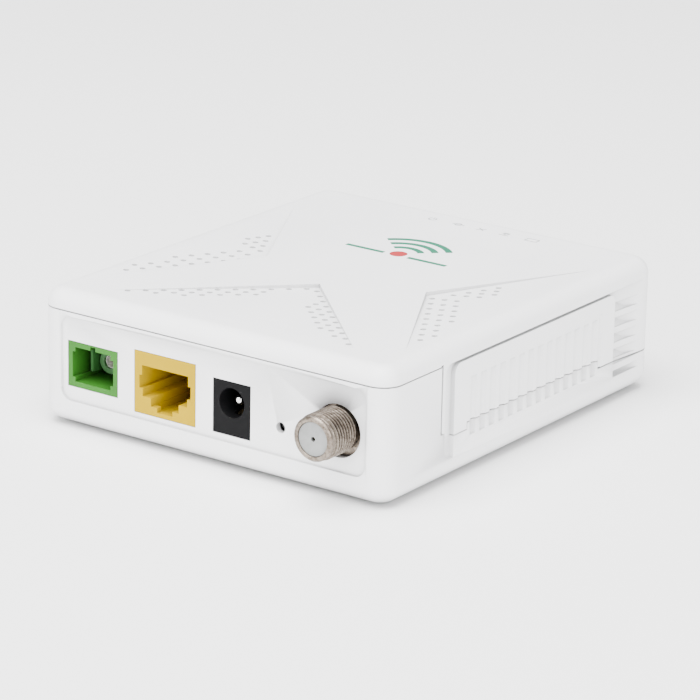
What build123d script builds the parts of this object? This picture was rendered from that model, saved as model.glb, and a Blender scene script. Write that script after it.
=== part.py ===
from build123d import *
import math
import os

os.makedirs("parts", exist_ok=True)

# Optical network terminal: a two-piece plastic case round one board with its sockets.
# Millimetres. Shapes are drawn in a case frame whose origin is under the middle of the case,
# with the socket side facing -Y. SHIFT carries that frame to the frame of the whole object.

# Case
CASE_WIDTH = 86.0
CASE_DEPTH = 98.0
CASE_HEIGHT = 28.0
CORNER_RADIUS = 4.5
EDGE_RADIUS = 3.5
WALL = 1.8
FLOOR = 1.8
ROOF = 2.0
HALF_WIDTH = CASE_WIDTH / 2
HALF_DEPTH = CASE_DEPTH / 2
FRONT = -HALF_DEPTH
BACK = HALF_DEPTH
CEILING = CASE_HEIGHT - ROOF
INSIDE_FRONT = FRONT + WALL
INSIDE_X = HALF_WIDTH - WALL
BEYOND = 4.0
FOOT_PROUD = 0.8
CONNECTOR_REACH = 7.6
SHIFT = (0, CONNECTOR_REACH / 2, FOOT_PROUD)

# Seam between cover and base: high across the socket side, then a drop to a low stepped line
SEAM_HIGH = 24.0
SEAM_DROP_Y = -30.8
SEAM_LOW_STEPS = [(SEAM_DROP_Y, -29.2, 10.1), (-29.2, -21.4, 8.8), (-21.4, 27.0, 10.3),
                  (27.0, 33.0, 8.6), (33.0, HALF_DEPTH + BEYOND, 8.0)]
SEAM_GAP = 0.25
SEAM_DEPTH = 1.0
SEAM_NOTCH_Y = (SEAM_DROP_Y - 0.3, SEAM_DROP_Y + 0.45)
SEAM_NOTCH_Z = (SEAM_HIGH - 0.2, SEAM_HIGH + 0.5)
SEAM_DROP_GAP = 0.45

# Raised side pads with hollow upright flutes, and the louvres behind them
FRAME_Y = (-29.4, 70.0)
FRAME_Z = (4.4, 24.1)
FRAME_DEPTH = 1.0
PAD_Y = (-26.2, 32.9)
PAD_Z = (-12.0, 23.5)
PAD_CORNER = 2.0
FLUTE_COUNT = 14
FLUTE_PITCH = 3.43
FLUTE_FIRST_Y = -19.5
FLUTE_RADIUS = 1.25
FLUTE_DEPTH = 0.52
FLUTE_Z = (7.5, 19.6)
END_FLUTE_Y = 27.4
END_FLUTE_RADIUS = 0.65
END_FLUTE_DEPTH = 0.28
END_FLUTE_Z = (8.6, 20.4)
LOUVRE_RECESS_Z = (8.0, 24.1)
LOUVRE_RECESS_FADE_Y = 44.5
LOUVRE_HEIGHT = 1.5
LOUVRE_FALL = 1.35
LOUVRE_DEPTH = 2.05
LOUVRE_BACKING = 0.8
LOUVRE_BACKING_Z = 8.7
LOUVRE_SLIT = (-0.1, 0.75)
LOUVRE_OPEN_Z = (20.4, 17.0, 13.6, 10.2)
LOUVRE_BLIND_Z = 5.9
LOUVRE_BLIND_DEPTH = 1.35
LOUVRE_START_Y = 33.0
LOUVRE_FADE_Y = 43.0
LOUVRE_BACK_X = (8.0, 36.0)

# Sunk facets of the lid and their small dimples
FACET_SINK = 0.8
FRONT_FACET = [(0.0, -12.0), (30.0, -42.0), (-30.0, -42.0)]
SIDE_FACET = [(20.0, -3.0), (38.2, -36.5), (38.2, 31.5)]
DIMPLE_RADIUS = 0.62
DIMPLE_SINK = 0.4
FRONT_DIMPLE_START = (1.3, -14.6)
FRONT_DIMPLE_STEP = (2.6, -2.54)
FRONT_DIMPLE_ROWS = [(0, 11, 0), (2, 9, 1), (2, 7, 2)]
SIDE_DIMPLE_ROWS = [(22.2, -4.0, 1.79, -3.14, 9), (24.8, -3.4, 1.79, -3.14, 8),
                    (27.4, -2.8, 1.79, -3.14, 5), (24.4, 0.4, 1.6, 3.1, 4),
                    (27.0, 1.2, 1.6, 3.1, 3), (29.6, 2.0, 1.6, 3.1, 2)]

# Socket panel
PANEL_X = (-37.3, 38.0)
PANEL_Z = (5.3, 23.1)
PANEL_CORNER = 2.5
PANEL_SINK = 0.5
PANEL_Y = FRONT + PANEL_SINK
PANEL_PARTING_X = 14.0
CUTOUT_GAP = 0.12

# Board
BOARD_X = (-38.5, 38.5)
BOARD_Y = (-46.6, 45.6)
BOARD_LOW = 4.9
BOARD_TOP = 6.5
BOARD_CORNER = 2.0

# Case screws, board screws, supports
CASE_SCREWS = [(-36.5, -20.0), (36.5, -20.0), (-36.5, 30.0), (36.5, 30.0)]
BASE_BOSS_RADIUS = 3.2
COVER_BOSS_RADIUS = 2.9
BOSS_MEET_Z = 6.8
BOSS_CLEARANCE = 0.6
SCREW_RADIUS = 1.08
SCREW_PILOT = 1.12
SCREW_PASS = 1.35
SCREW_TOP = 11.5
PILOT_TOP = 13.0
SCREW_HEAD_RADIUS = 2.1
SCREW_HEAD_LOW = 0.9
SCREW_HEAD_TOP = 2.2
COUNTERBORE_RADIUS = 2.4
DRIVE_SIZE = (0.5, 2.4, 0.7)
RIB_THICKNESS = 1.2
BOARD_SCREWS = [(-33.0, 12.0), (33.0, 12.0), (-22.0, 41.0)]
BOARD_POST_RADIUS = 2.6
BOARD_SCREW_RADIUS = 0.95
BOARD_SCREW_PILOT = 1.0
BOARD_SCREW_PASS = 1.2
BOARD_SCREW_LOW = 2.6
BOARD_PILOT_LOW = 2.3
BOARD_HEAD_RADIUS = 1.9
BOARD_HEAD_HEIGHT = 1.2
PLAIN_POSTS = [(-19.6, -43.5), (22.8, -43.5), (25.0, 42.0)]
PLAIN_POST_RADIUS = 1.8

# Underside
FEET = [(-33.0, -40.0), (33.0, -40.0), (-33.0, 41.0), (33.0, 41.0)]
FOOT_RADIUS = 4.0
FOOT_POCKET = 0.4
KEYHOLE_X = (-25.0, 25.0)
KEYHOLE_HEAD_Y = -3.0
KEYHOLE_HEAD_RADIUS = 3.8
KEYHOLE_SLOT_END_Y = 5.0
KEYHOLE_SLOT_RADIUS = 2.0
VENT_X = [-16.0, -12.0, -8.0, -4.0, 0.0, 4.0, 8.0, 12.0, 16.0]
VENT_WIDTH = 1.6
VENT_Y = (14.0, 34.0)
LABEL_SIZE = (46.0, 22.0)
LABEL_Y = -24.0
LABEL_THICK = 0.2
LABEL_SINK = 0.25

# Fibre receptacle
SC_X = -29.4
SC_Z = 13.15
SC_WIDTH = 12.65
SC_TALL = 9.45
SC_BACK = -23.0
SC_MOUTH = (10.5, 7.3)
SC_MOUTH_BACK = -36.6
SC_PARTITION_BACK = -35.4
SC_REAR_ROOM = (9.4, 7.7)
SC_KEY = (1.3, 0.8)
SC_CORNER = (0.7, 0.95)
SC_FLANGE = (15.4, 11.0)
SC_FLANGE_Y = (-46.9, -45.2)
HOLDER_PLATE_Y = (-38.2, SC_MOUTH_BACK)
HOLDER_PLATE = (9.0, 6.6)
HOLDER_FRONT = -43.2
HOLDER_BACK = -32.4
HOLDER_RADIUS = 2.45
SLEEVE_RADIUS = 1.65
SLEEVE_ROOM = 1.68
SLEEVE_BORE = 1.27
SLEEVE_Y = (-42.6, -32.6)
SLEEVE_SLIT = 0.3
PARTITION_HOLE = 2.6
FERRULE_RADIUS = 1.249
FERRULE_Y = (-38.0, -27.0)
FERRULE_CHAMFER = 0.3
HOOK_X = (3.4, 4.0)
HOOK_HALF_TALL = 2.4
HOOK_Y = (-44.3, -38.5)
HOOK_TIP_X = 3.05
HOOK_TIP_LENGTH = 3.0
PLUG_BODY = (8.7, 7.0)
PLUG_Y = (-34.2, -21.5)
PLUG_POCKET_BACK = -32.0
CORD_RADIUS = 0.45
CORD_ROOM = 0.6
BOOT_Y = (-21.5, -13.5)
BOOT_RADII = (2.2, 1.1)
CRADLE_X = 5.6
CRADLE_Y = (-42.0, -26.0)

# Optical module and the cord that reaches it
MODULE_X = -5.0
MODULE_Z = 10.2
MODULE_HALF = 3.6
MODULE_Y = (-5.0, 4.0)
MODULE_CAN_RADIUS = 2.7
MODULE_CAN_LENGTH = 5.0
MODULE_NOZZLE_RADIUS = 1.7
MODULE_NOZZLE_END = 10.0
CORD_TURN_Y = 26.0
CORD_BEND = 12.0
CORD_START_Y = -26.8
CORD_SLOPE_Y = -13.0
CLIP_SIZE = (2.4, 2.0)
CLIP_OVER = 1.2
CLIP_ROOM = 0.75
CLIP_SIDE_Y = 2.0
CLIP_BACK_X = -17.2

# Network socket
RJ_X = -11.0
RJ_Z = 13.0
RJ_WIDTH = 15.2
RJ_TALL = 12.9
RJ_BACK = -27.5
RJ_MOUTH_BACK = -34.0
RJ_MOUTH = [(-5.8, 3.6), (-5.8, 1.5), (-6.45, 1.5), (-6.45, -1.2), (-5.6, -1.2), (-5.6, -2.85),
            (-3.5, -2.85), (-3.5, -4.6), (-1.95, -4.6), (-1.95, -5.6), (1.95, -5.6), (1.95, -4.6),
            (3.5, -4.6), (3.5, -2.85), (5.6, -2.85), (5.6, -1.2), (6.45, -1.2), (6.45, 1.5),
            (5.8, 1.5), (5.8, 3.6)]
RJ_LIP = 1.3
RJ_HOLLOW_HALF = 3.4
RJ_HOLLOW_Z = (-6.05, -4.0)
RJ_CONTACTS = 8
RJ_PITCH = 1.02
RJ_WIRE = 0.22
RJ_WIRE_FRONT = (-43.0, 2.9)
RJ_WIRE_BACK = (-36.6, 0.6)
RJ_CARRIER_X = 5.0
RJ_CARRIER_Y = (-33.7, -28.0)
RJ_CARRIER_Z = (-4.0, 4.0)
RJ_COMB_Y = (-42.2, -34.2)
RJ_COMB_Z = (4.3, 5.5)
RJ_LEG = 0.3
RJ_LEG_LOW = 3.6

# Power socket
DC_X = 5.65
DC_WIDTH = 9.0
DC_Z = (6.78, 17.78)
DC_BACK = -34.5
DC_AXIS_Z = 13.5
DC_BORE = 3.1
DC_BORE_BACK = -39.5
DC_PIN_RADIUS = 1.0
DC_PIN_FRONT = -46.6
DC_PIN_BACK = -33.6
DC_PIN_ROOT_RADIUS = 1.4
DC_SLOT_HALF = 1.3
DC_SLOT_Y = (-46.0, -36.2)
DC_SLOT_LOW = 8.3
DC_LEAF_HALF = 0.9
DC_LEAF_THICK = 0.25
DC_LEAF = [(-36.8, 9.3), (-41.0, 10.75), (-43.2, 11.2), (-45.4, 10.4)]
DC_TERMINALS = [(5.65, -33.2), (5.65, -36.9), (10.6, -38.0)]
DC_TERMINAL = (1.6, 0.4)
DC_PEG = 0.6

# Reset switch
RESET_X = 17.6
RESET_Z = 11.1
RESET_HOLE = 1.1
RESET_BODY = 3.0
RESET_BODY_Y = (-43.6, -40.2)
RESET_STEM_RADIUS = 1.5
RESET_STEM_Y = (-46.0, -43.0)
RESET_STEM_GAP = 0.35
RESET_LEGS = [(-2.3, -41.0), (2.3, -41.0), (-2.3, -38.6), (2.3, -38.6)]
RESET_LEG = 0.35

# Coaxial connector
F_X = 31.0
F_Z = 13.9
F_HOLE_CENTRE = (31.1, 13.5)
F_HOLE = 5.4
F_TIP = FRONT - CONNECTOR_REACH
F_CREST = 4.72
F_ROOT = 4.3
F_PITCH = 0.794
F_THREADS = 8
F_THREAD_START = 1.694
F_RING = 4.5
F_RING_LENGTH = 1.2
F_CHAMFER = 0.4
F_BORE = 3.4
F_BLOCK_X = 6.0
F_BLOCK_Y = (-46.9, -37.0)
F_BLOCK_Z = (6.5, 20.0)
F_BORE_BACK = -38.4
F_INSULATOR_Y = (-56.3, -45.0)
F_CONTACT_HOLE = 0.5
F_CONTACT_RADIUS = 0.95
F_CONTACT_Y = (-55.6, -37.6)
F_LEGS = [(-4.6, -45.6), (4.6, -45.6), (-4.6, -38.4), (4.6, -38.4)]
F_LEG = 0.6
LEG_LOW = 3.7

# Parts on the board: centre x, centre y, size x, size y, height
SHIELD = (20.5, -21.0, 21.0, 25.0, 5.0)
SHIELD_SHEET = 0.3
SHIELD_HOLE = 0.9
SOC = (19.0, 10.0, 14.0, 14.0, 1.2)
PAD = (19.0, 10.0, 13.0, 13.0, 0.5)
SINK = (19.0, 10.0, 20.0, 20.0, 8.5)
SINK_BASE = 1.8
SINK_FINS = 8
SINK_FIN = 0.9
DDR = (19.0, 30.0, 9.0, 13.0, 1.1)
FLASH = (4.0, 30.0, 8.0, 6.0, 0.9)
TRANSFORMER = (-11.0, -19.0, 15.0, 9.6, 4.2)
TRANSFORMER_PINS = 8
INDUCTORS = [(5.0, -13.5, 5.0, 5.0, 3.0), (-1.2, -22.0, 4.0, 4.0, 2.2), (4.6, -7.5, 4.0, 4.0, 2.2)]
CAPACITORS = [(3.0, -29.0, 3.2, 8.5), (3.8, -20.5, 2.5, 6.5), (33.0, -3.5, 3.2, 8.5)]
CRYSTAL = (4.0, 20.0, 5.0, 3.2, 0.9)
CHIP_ROW = [(-20.0, -10.0), (-20.0, -7.5), (-20.0, -5.0), (-16.5, -10.0), (-16.5, -7.5),
            (-16.5, -5.0), (7.0, 4.0), (7.0, 7.0), (7.0, 10.0), (7.0, 13.0), (31.5, 18.0),
            (31.5, 21.0), (31.5, 24.0), (10.5, 25.0), (10.5, 28.0), (10.5, 31.0), (10.5, 34.0),
            (-24.0, 30.0), (-21.0, 30.0), (-18.0, 30.0), (-15.0, 30.0), (-2.5, 34.0), (-2.5, 31.0)]
CHIP_SIZE = (1.6, 0.8, 0.8)
HEADER = (-12.0, 37.0)
HEADER_PINS = 4
HEADER_PITCH = 2.54
HEADER_TALL = 8.5
HEADER_PIN = 0.32

# Lamps
LAMP_X = [-8.8, -2.1, 3.8, 9.8, 16.7]
LAMP_Y = 43.2
LAMP_SIZE = (1.6, 0.9, 0.7)
STEM_RADIUS = 1.2
STEM_LOW = 7.9
STEM_TOP = 27.2
STEM_ROOM = 1.35
BAR_Z = (24.2, CEILING)
BAR_HALF = 1.6


def block(x_limits, y_limits, z_limits):
    """Box between three pairs of limits."""
    pairs = (x_limits, y_limits, z_limits)
    size = [high - low for low, high in pairs]
    middle = [(high + low) / 2 for low, high in pairs]
    return Pos(*middle) * Box(*size)


def on_board(centre_x, centre_y, size_x, size_y, height, lift=0.0):
    """Box standing on the board, or lifted above it."""
    low = BOARD_TOP + lift
    return block((centre_x - size_x / 2, centre_x + size_x / 2),
                 (centre_y - size_y / 2, centre_y + size_y / 2), (low, low + height))


def post(x, y, radius, z_low, z_high):
    """Upright cylinder."""
    return Pos(x, y, (z_low + z_high) / 2) * Cylinder(radius, z_high - z_low)


def rod(x, z, radius, y_low, y_high):
    """Cylinder lying along Y."""
    return Pos(x, (y_low + y_high) / 2, z) * Rot(90, 0, 0) * Cylinder(radius, y_high - y_low)


def prism(outline, z_low, z_high):
    """Outline of the plan view carried upward."""
    return Pos(0, 0, z_low) * extrude(outline, z_high - z_low)


def along_y(outline, x, z, y_low, y_high):
    """Outline of the front view carried from the low limit to the high one."""
    return Pos(x, y_high, z) * Rot(90, 0, 0) * extrude(outline, y_high - y_low)


def along_x(outline, x_low, x_high):
    """Outline of the side view, drawn in Y and Z, carried along X."""
    return Pos(x_low, 0, 0) * extrude(Plane.YZ * outline, x_high - x_low)


def polygon(points):
    """Closed flat outline through the points."""
    return make_face(Polyline(*points, close=True))


def turned(profile, x, z, y_start):
    """Solid spun from points of radius and forward reach about an axis along -Y."""
    spun = revolve(Plane.XZ * polygon(profile), Axis.Z)
    return Pos(x, y_start, z) * Rot(90, 0, 0) * spun


def both_sides(shape):
    """The shape and its mirror image across the middle of the case."""
    return shape + mirror(shape, Plane.YZ)


def joined(shapes):
    """Union of a list of shapes."""
    whole = shapes[0]
    for shape in shapes[1:]:
        whole = whole + shape
    return whole


def keep(name, shape):
    """Write one node in the frame of the whole object."""
    export_step(Pos(*SHIFT) * shape, "parts/" + name + ".step")


def inset_prism(inset, z_low, z_high):
    """Case plan drawn in from every side by the inset."""
    plan = RectangleRounded(CASE_WIDTH - 2 * inset, CASE_DEPTH - 2 * inset, CORNER_RADIUS - inset)
    return prism(plan, z_low, z_high)


def skin(depth, z_low, z_high):
    """Everything outside a line that lies the given depth inside the case walls."""
    around = Rectangle(CASE_WIDTH + 2 * BEYOND, CASE_DEPTH + 2 * BEYOND)
    return prism(around, z_low, z_high) - inset_prism(depth, z_low - 1, z_high + 1)


def yz_box(y_limits, z_limits, corner):
    """Rounded rectangle of the side view."""
    plain = RectangleRounded(y_limits[1] - y_limits[0], z_limits[1] - z_limits[0], corner)
    return Pos((y_limits[0] + y_limits[1]) / 2, (z_limits[0] + z_limits[1]) / 2) * plain


def louvre_groove(height):
    """Groove under one louvre blade: deepest at its top, and out to nothing at its foot."""
    low = height - LOUVRE_FALL
    high = height + LOUVRE_HEIGHT / 2
    plan = RectangleRounded(CASE_WIDTH - 2 * FRAME_DEPTH, CASE_DEPTH - 2 * FRAME_DEPTH,
                            CORNER_RADIUS - FRAME_DEPTH)
    lean = math.degrees(math.atan2(LOUVRE_DEPTH - FRAME_DEPTH, high - low))
    core = extrude(Pos(0, 0, low) * plan, amount=high - low, taper=lean)
    around = Rectangle(CASE_WIDTH + 2 * BEYOND, CASE_DEPTH + 2 * BEYOND)
    return prism(around, low, high) - core


def fading_wedge(depth, start_y, fade_y, z_low, z_high):
    """Cut that is deepest at its front end and runs out to nothing before the rear corner."""
    outer = HALF_WIDTH + BEYOND
    plan = polygon([(HALF_WIDTH - depth, start_y), (outer, start_y), (outer, fade_y), (HALF_WIDTH, fade_y)])
    return prism(plan, z_low, z_high)


def flute(centre_y, radius, depth, z_limits):
    """Upright hollow of part-round section in a side pad."""
    return post(HALF_WIDTH + radius - depth, centre_y, radius, *z_limits)


def side_relief():
    """Groove round each side pad, its flutes and the recess and louvres behind it."""
    outer = HALF_WIDTH + BEYOND
    frame = along_x(yz_box(FRAME_Y, FRAME_Z, PAD_CORNER), HALF_WIDTH - FRAME_DEPTH, outer)
    frame = frame & block((0, outer), (FRAME_Y[0] - 1, PAD_Y[1]), (0, CASE_HEIGHT))
    pad = along_x(yz_box(PAD_Y, PAD_Z, PAD_CORNER), HALF_WIDTH - BEYOND, outer + 1)
    cuts = [frame - pad]
    for index in range(FLUTE_COUNT):
        cuts.append(flute(FLUTE_FIRST_Y + index * FLUTE_PITCH, FLUTE_RADIUS, FLUTE_DEPTH, FLUTE_Z))
    cuts.append(flute(END_FLUTE_Y, END_FLUTE_RADIUS, END_FLUTE_DEPTH, END_FLUTE_Z))
    cuts.append(fading_wedge(FRAME_DEPTH, PAD_Y[1], LOUVRE_RECESS_FADE_Y, *LOUVRE_RECESS_Z))
    cuts.append(block((0, HALF_WIDTH), (BACK - FRAME_DEPTH, BACK + BEYOND), LOUVRE_RECESS_Z))
    beside = fading_wedge(LOUVRE_DEPTH * 1.25, LOUVRE_START_Y, LOUVRE_FADE_Y, 0, CASE_HEIGHT)
    behind = block(LOUVRE_BACK_X, (BACK - WALL - LOUVRE_BACKING, BACK + BEYOND), (0, CASE_HEIGHT))
    reach = beside + behind
    for height in LOUVRE_OPEN_Z:
        cuts.append(louvre_groove(height) & reach)
        slit = (height + LOUVRE_SLIT[0], height + LOUVRE_SLIT[1])
        cuts.append(block(LOUVRE_BACK_X, (BACK - WALL - LOUVRE_BACKING - 1, BACK + BEYOND), slit))
    low_limits = (LOUVRE_BLIND_Z - LOUVRE_HEIGHT / 2, LOUVRE_BLIND_Z + LOUVRE_HEIGHT / 2)
    cuts.append(skin(LOUVRE_BLIND_DEPTH, *low_limits) & reach)
    return both_sides(joined(cuts))


def case_shell():
    """Both halves of the case before the seam parts them."""
    body = inset_prism(0, 0, CASE_HEIGHT)
    body = fillet(body.faces().sort_by(Axis.Z)[-1].edges(), EDGE_RADIUS)
    body = fillet(body.faces().sort_by(Axis.Z)[0].edges(), EDGE_RADIUS)
    body = body - inset_prism(WALL, FLOOR, CEILING)
    backing = inset_prism(WALL - 0.1, LOUVRE_BACKING_Z, CEILING + 0.1)
    backing = backing - inset_prism(WALL + LOUVRE_BACKING, LOUVRE_BACKING_Z - 1, CEILING + 1)
    behind_louvres = block((-HALF_WIDTH, HALF_WIDTH), (LOUVRE_START_Y - LOUVRE_BACKING, BACK),
                           (0, CASE_HEIGHT))
    return body + (backing & behind_louvres) - side_relief()


def base_region(grow):
    """Space that belongs to the base, grown past the seam by the given amount."""
    wide = (-HALF_WIDTH - BEYOND, HALF_WIDTH + BEYOND)
    parts = [block(wide, (FRONT - BEYOND, SEAM_DROP_Y + grow), (-1, SEAM_HIGH + grow))]
    for start, end, height in SEAM_LOW_STEPS:
        parts.append(block(wide, (start - grow, end + grow), (-1, height + grow)))
    return joined(parts)


def seam_groove():
    """Narrow shadow line left along the outside of the seam."""
    band = base_region(SEAM_GAP) - base_region(0)
    near_side = (HALF_WIDTH - SEAM_DEPTH, HALF_WIDTH + BEYOND)
    notch = block(near_side, SEAM_NOTCH_Y, SEAM_NOTCH_Z)
    drop = block(near_side, (SEAM_DROP_Y, SEAM_DROP_Y + SEAM_DROP_GAP), (SEAM_LOW_STEPS[0][2], SEAM_HIGH))
    return (band & skin(SEAM_DEPTH, -1, CASE_HEIGHT)) + both_sides(notch + drop)


def facet_cut(corners, section, runs_along_x):
    """Wedge that sinks one triangular facet of the lid."""
    triangle = prism(polygon(corners), CASE_HEIGHT - 2 * FACET_SINK, CASE_HEIGHT + 1)
    if runs_along_x:
        slope = along_x(polygon(section), -HALF_WIDTH, HALF_WIDTH)
    else:
        slope = along_y(polygon(section), 0, 0, -HALF_DEPTH, HALF_DEPTH)
    return triangle & slope


def lid_facets():
    """Front facet and the two side facets."""
    top = CASE_HEIGHT
    apex_y, foot_y = FRONT_FACET[0][1], FRONT_FACET[1][1]
    front_section = [(apex_y, top - FACET_SINK), (foot_y, top), (foot_y, top + 1), (apex_y, top + 1)]
    apex_x, foot_x = SIDE_FACET[0][0], SIDE_FACET[1][0]
    side_section = [(apex_x, top - FACET_SINK), (foot_x, top), (foot_x, top + 1), (apex_x, top + 1)]
    front = facet_cut(FRONT_FACET, front_section, True)
    side = facet_cut(SIDE_FACET, side_section, False)
    return front + both_sides(side)


def dimple_cuts():
    """Small round dimples in the three facets."""
    apex_y, foot_y = FRONT_FACET[0][1], FRONT_FACET[1][1]
    apex_x, foot_x = SIDE_FACET[0][0], SIDE_FACET[1][0]
    cuts = []
    for first, last, drop in FRONT_DIMPLE_ROWS:
        for step in range(first, last):
            x = FRONT_DIMPLE_START[0] + step * FRONT_DIMPLE_STEP[0]
            y = FRONT_DIMPLE_START[1] + (step + drop) * FRONT_DIMPLE_STEP[1]
            floor = CASE_HEIGHT - FACET_SINK * max(0.0, (y - foot_y) / (apex_y - foot_y))
            for side in (-1, 1):
                cuts.append(post(side * x, y, DIMPLE_RADIUS, floor - DIMPLE_SINK, CASE_HEIGHT + 1))
    for start_x, start_y, step_x, step_y, count in SIDE_DIMPLE_ROWS:
        for index in range(count):
            x = start_x + index * step_x
            y = start_y + index * step_y
            floor = CASE_HEIGHT - FACET_SINK * max(0.0, (foot_x - x) / (foot_x - apex_x))
            for side in (-1, 1):
                cuts.append(post(side * x, y, DIMPLE_RADIUS, floor - DIMPLE_SINK, CASE_HEIGHT + 1))
    return Compound(cuts)


def rounded_front(width, tall, corner):
    """Rounded rectangle of the front view."""
    return RectangleRounded(width, tall, corner)


def port_cuts():
    """Sunk socket panel with one opening for each socket, the reset hole and the coaxial hole."""
    width = PANEL_X[1] - PANEL_X[0]
    tall = PANEL_Z[1] - PANEL_Z[0]
    panel = along_y(rounded_front(width, tall, PANEL_CORNER), (PANEL_X[0] + PANEL_X[1]) / 2,
                    (PANEL_Z[0] + PANEL_Z[1]) / 2, FRONT - 1, PANEL_Y)
    through = (FRONT - 1, INSIDE_FRONT + 1)
    gap = 2 * CUTOUT_GAP
    dc_middle = (DC_Z[0] + DC_Z[1]) / 2
    cuts = [panel]
    cuts.append(along_y(Rectangle(SC_WIDTH + gap, SC_TALL + gap), SC_X, SC_Z, *through))
    cuts.append(along_y(Rectangle(RJ_WIDTH + gap, RJ_TALL + gap), RJ_X, RJ_Z, *through))
    cuts.append(along_y(Rectangle(DC_WIDTH + gap, DC_Z[1] - DC_Z[0] + gap), DC_X, dc_middle, *through))
    cuts.append(rod(RESET_X, RESET_Z, RESET_HOLE, *through))
    cuts.append(rod(*F_HOLE_CENTRE, F_HOLE, *through))
    return joined(cuts)


def underside_cuts():
    """Foot pockets, keyholes, vents, label pocket and counterbores."""
    cuts = [post(x, y, FOOT_RADIUS, -1, FOOT_POCKET) for x, y in FEET]
    for x in KEYHOLE_X:
        cuts.append(post(x, KEYHOLE_HEAD_Y, KEYHOLE_HEAD_RADIUS, -1, FLOOR + 1))
        cuts.append(post(x, KEYHOLE_SLOT_END_Y, KEYHOLE_SLOT_RADIUS, -1, FLOOR + 1))
        cuts.append(block((x - KEYHOLE_SLOT_RADIUS, x + KEYHOLE_SLOT_RADIUS),
                          (KEYHOLE_HEAD_Y, KEYHOLE_SLOT_END_Y), (-1, FLOOR + 1)))
    for x in VENT_X:
        slot = SlotOverall(VENT_Y[1] - VENT_Y[0], VENT_WIDTH, rotation=90)
        cuts.append(prism(Pos(x, (VENT_Y[0] + VENT_Y[1]) / 2) * slot, -1, FLOOR + 1))
    label = RectangleRounded(LABEL_SIZE[0] + 0.4, LABEL_SIZE[1] + 0.4, 1.2)
    cuts.append(prism(Pos(0, LABEL_Y) * label, -1, LABEL_SINK))
    return cuts


def top_cover(shell):
    """Lid with its long side walls, screw bosses and lamp pockets."""
    cover = shell - base_region(0) - seam_groove()
    cover = cover - lid_facets() - dimple_cuts()
    for x, y in CASE_SCREWS:
        side = 1 if x > 0 else -1
        rib_x = sorted((x + side * 2.0, side * (INSIDE_X + 0.3)))
        rib = block(rib_x, (y - RIB_THICKNESS / 2, y + RIB_THICKNESS / 2), (11.0, CEILING + 0.3))
        cover = cover + post(x, y, COVER_BOSS_RADIUS, BOSS_MEET_Z, CEILING + 0.3) + rib
        cover = cover - post(x, y, SCREW_PILOT, BOSS_MEET_Z - 1, PILOT_TOP)
    for x in LAMP_X:
        cover = cover - post(x, LAMP_Y, STEM_ROOM, CEILING - 1, STEM_TOP)
    return cover


def whole_tray(shell):
    """Tray with the socket wall, screw bosses, board posts and the pattern of the underside."""
    base = (shell & base_region(0)) - port_cuts()
    for x, y in CASE_SCREWS:
        base = base + post(x, y, BASE_BOSS_RADIUS, FLOOR - 0.3, BOSS_MEET_Z)
        base = base - post(x, y, SCREW_PASS, -1, BOSS_MEET_Z + 1)
        base = base - post(x, y, COUNTERBORE_RADIUS, -1, SCREW_HEAD_TOP)
    for x, y in BOARD_SCREWS:
        base = base + post(x, y, BOARD_POST_RADIUS, FLOOR - 0.3, BOARD_LOW)
        base = base - post(x, y, BOARD_SCREW_PILOT, BOARD_PILOT_LOW, BOARD_LOW + 1)
    for x, y in PLAIN_POSTS:
        base = base + post(x, y, PLAIN_POST_RADIUS, FLOOR - 0.3, BOARD_LOW)
    for cut in underside_cuts():
        base = base - cut
    return base


def panel_space(x_low, x_high):
    """Room of the socket panel between two x limits: behind the sunk outline and up to the seam."""
    width = PANEL_X[1] - PANEL_X[0]
    tall = PANEL_Z[1] - PANEL_Z[0]
    middle_x = (PANEL_X[0] + PANEL_X[1]) / 2
    middle_z = (PANEL_Z[0] + PANEL_Z[1]) / 2
    through = (FRONT - 1, INSIDE_FRONT)
    sunk = along_y(rounded_front(width, tall, PANEL_CORNER), middle_x, middle_z, *through)
    space = sunk + block(PANEL_X, through, (middle_z, SEAM_HIGH + 1))
    return space & block((x_low, x_high), through, (-1, CASE_HEIGHT))


def screw_set(places, radius, low, high, head_radius, head_low, head_high, slot_z):
    """Identical screws as separate solids, each with a crossed drive."""
    made = []
    for x, y in places:
        one = post(x, y, radius, low, high) + post(x, y, head_radius, head_low, head_high)
        half_thin, half_long = DRIVE_SIZE[0] / 2, DRIVE_SIZE[1] / 2
        one = one - block((x - half_thin, x + half_thin), (y - half_long, y + half_long), slot_z)
        one = one - block((x - half_long, x + half_long), (y - half_thin, y + half_thin), slot_z)
        made.append(one)
    return Compound(made)


def leg_holes():
    """Centres and radii of the plated holes in the board."""
    holes = [(F_X + dx, y, F_LEG + 0.15) for dx, y in F_LEGS]
    holes += [(RESET_X + dx, y, RESET_LEG + 0.15) for dx, y in RESET_LEGS]
    holes += [(x, y, 1.0) for x, y in DC_TERMINALS]
    for index in range(RJ_CONTACTS):
        x = RJ_X + (index - (RJ_CONTACTS - 1) / 2) * RJ_PITCH
        holes.append((x, -30.2 + 1.8 * (index % 2), RJ_LEG + 0.15))
    for index in range(HEADER_PINS):
        x = HEADER[0] + (index - (HEADER_PINS - 1) / 2) * HEADER_PITCH
        holes.append((x, HEADER[1], HEADER_PIN + 0.2))
    return holes


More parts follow.
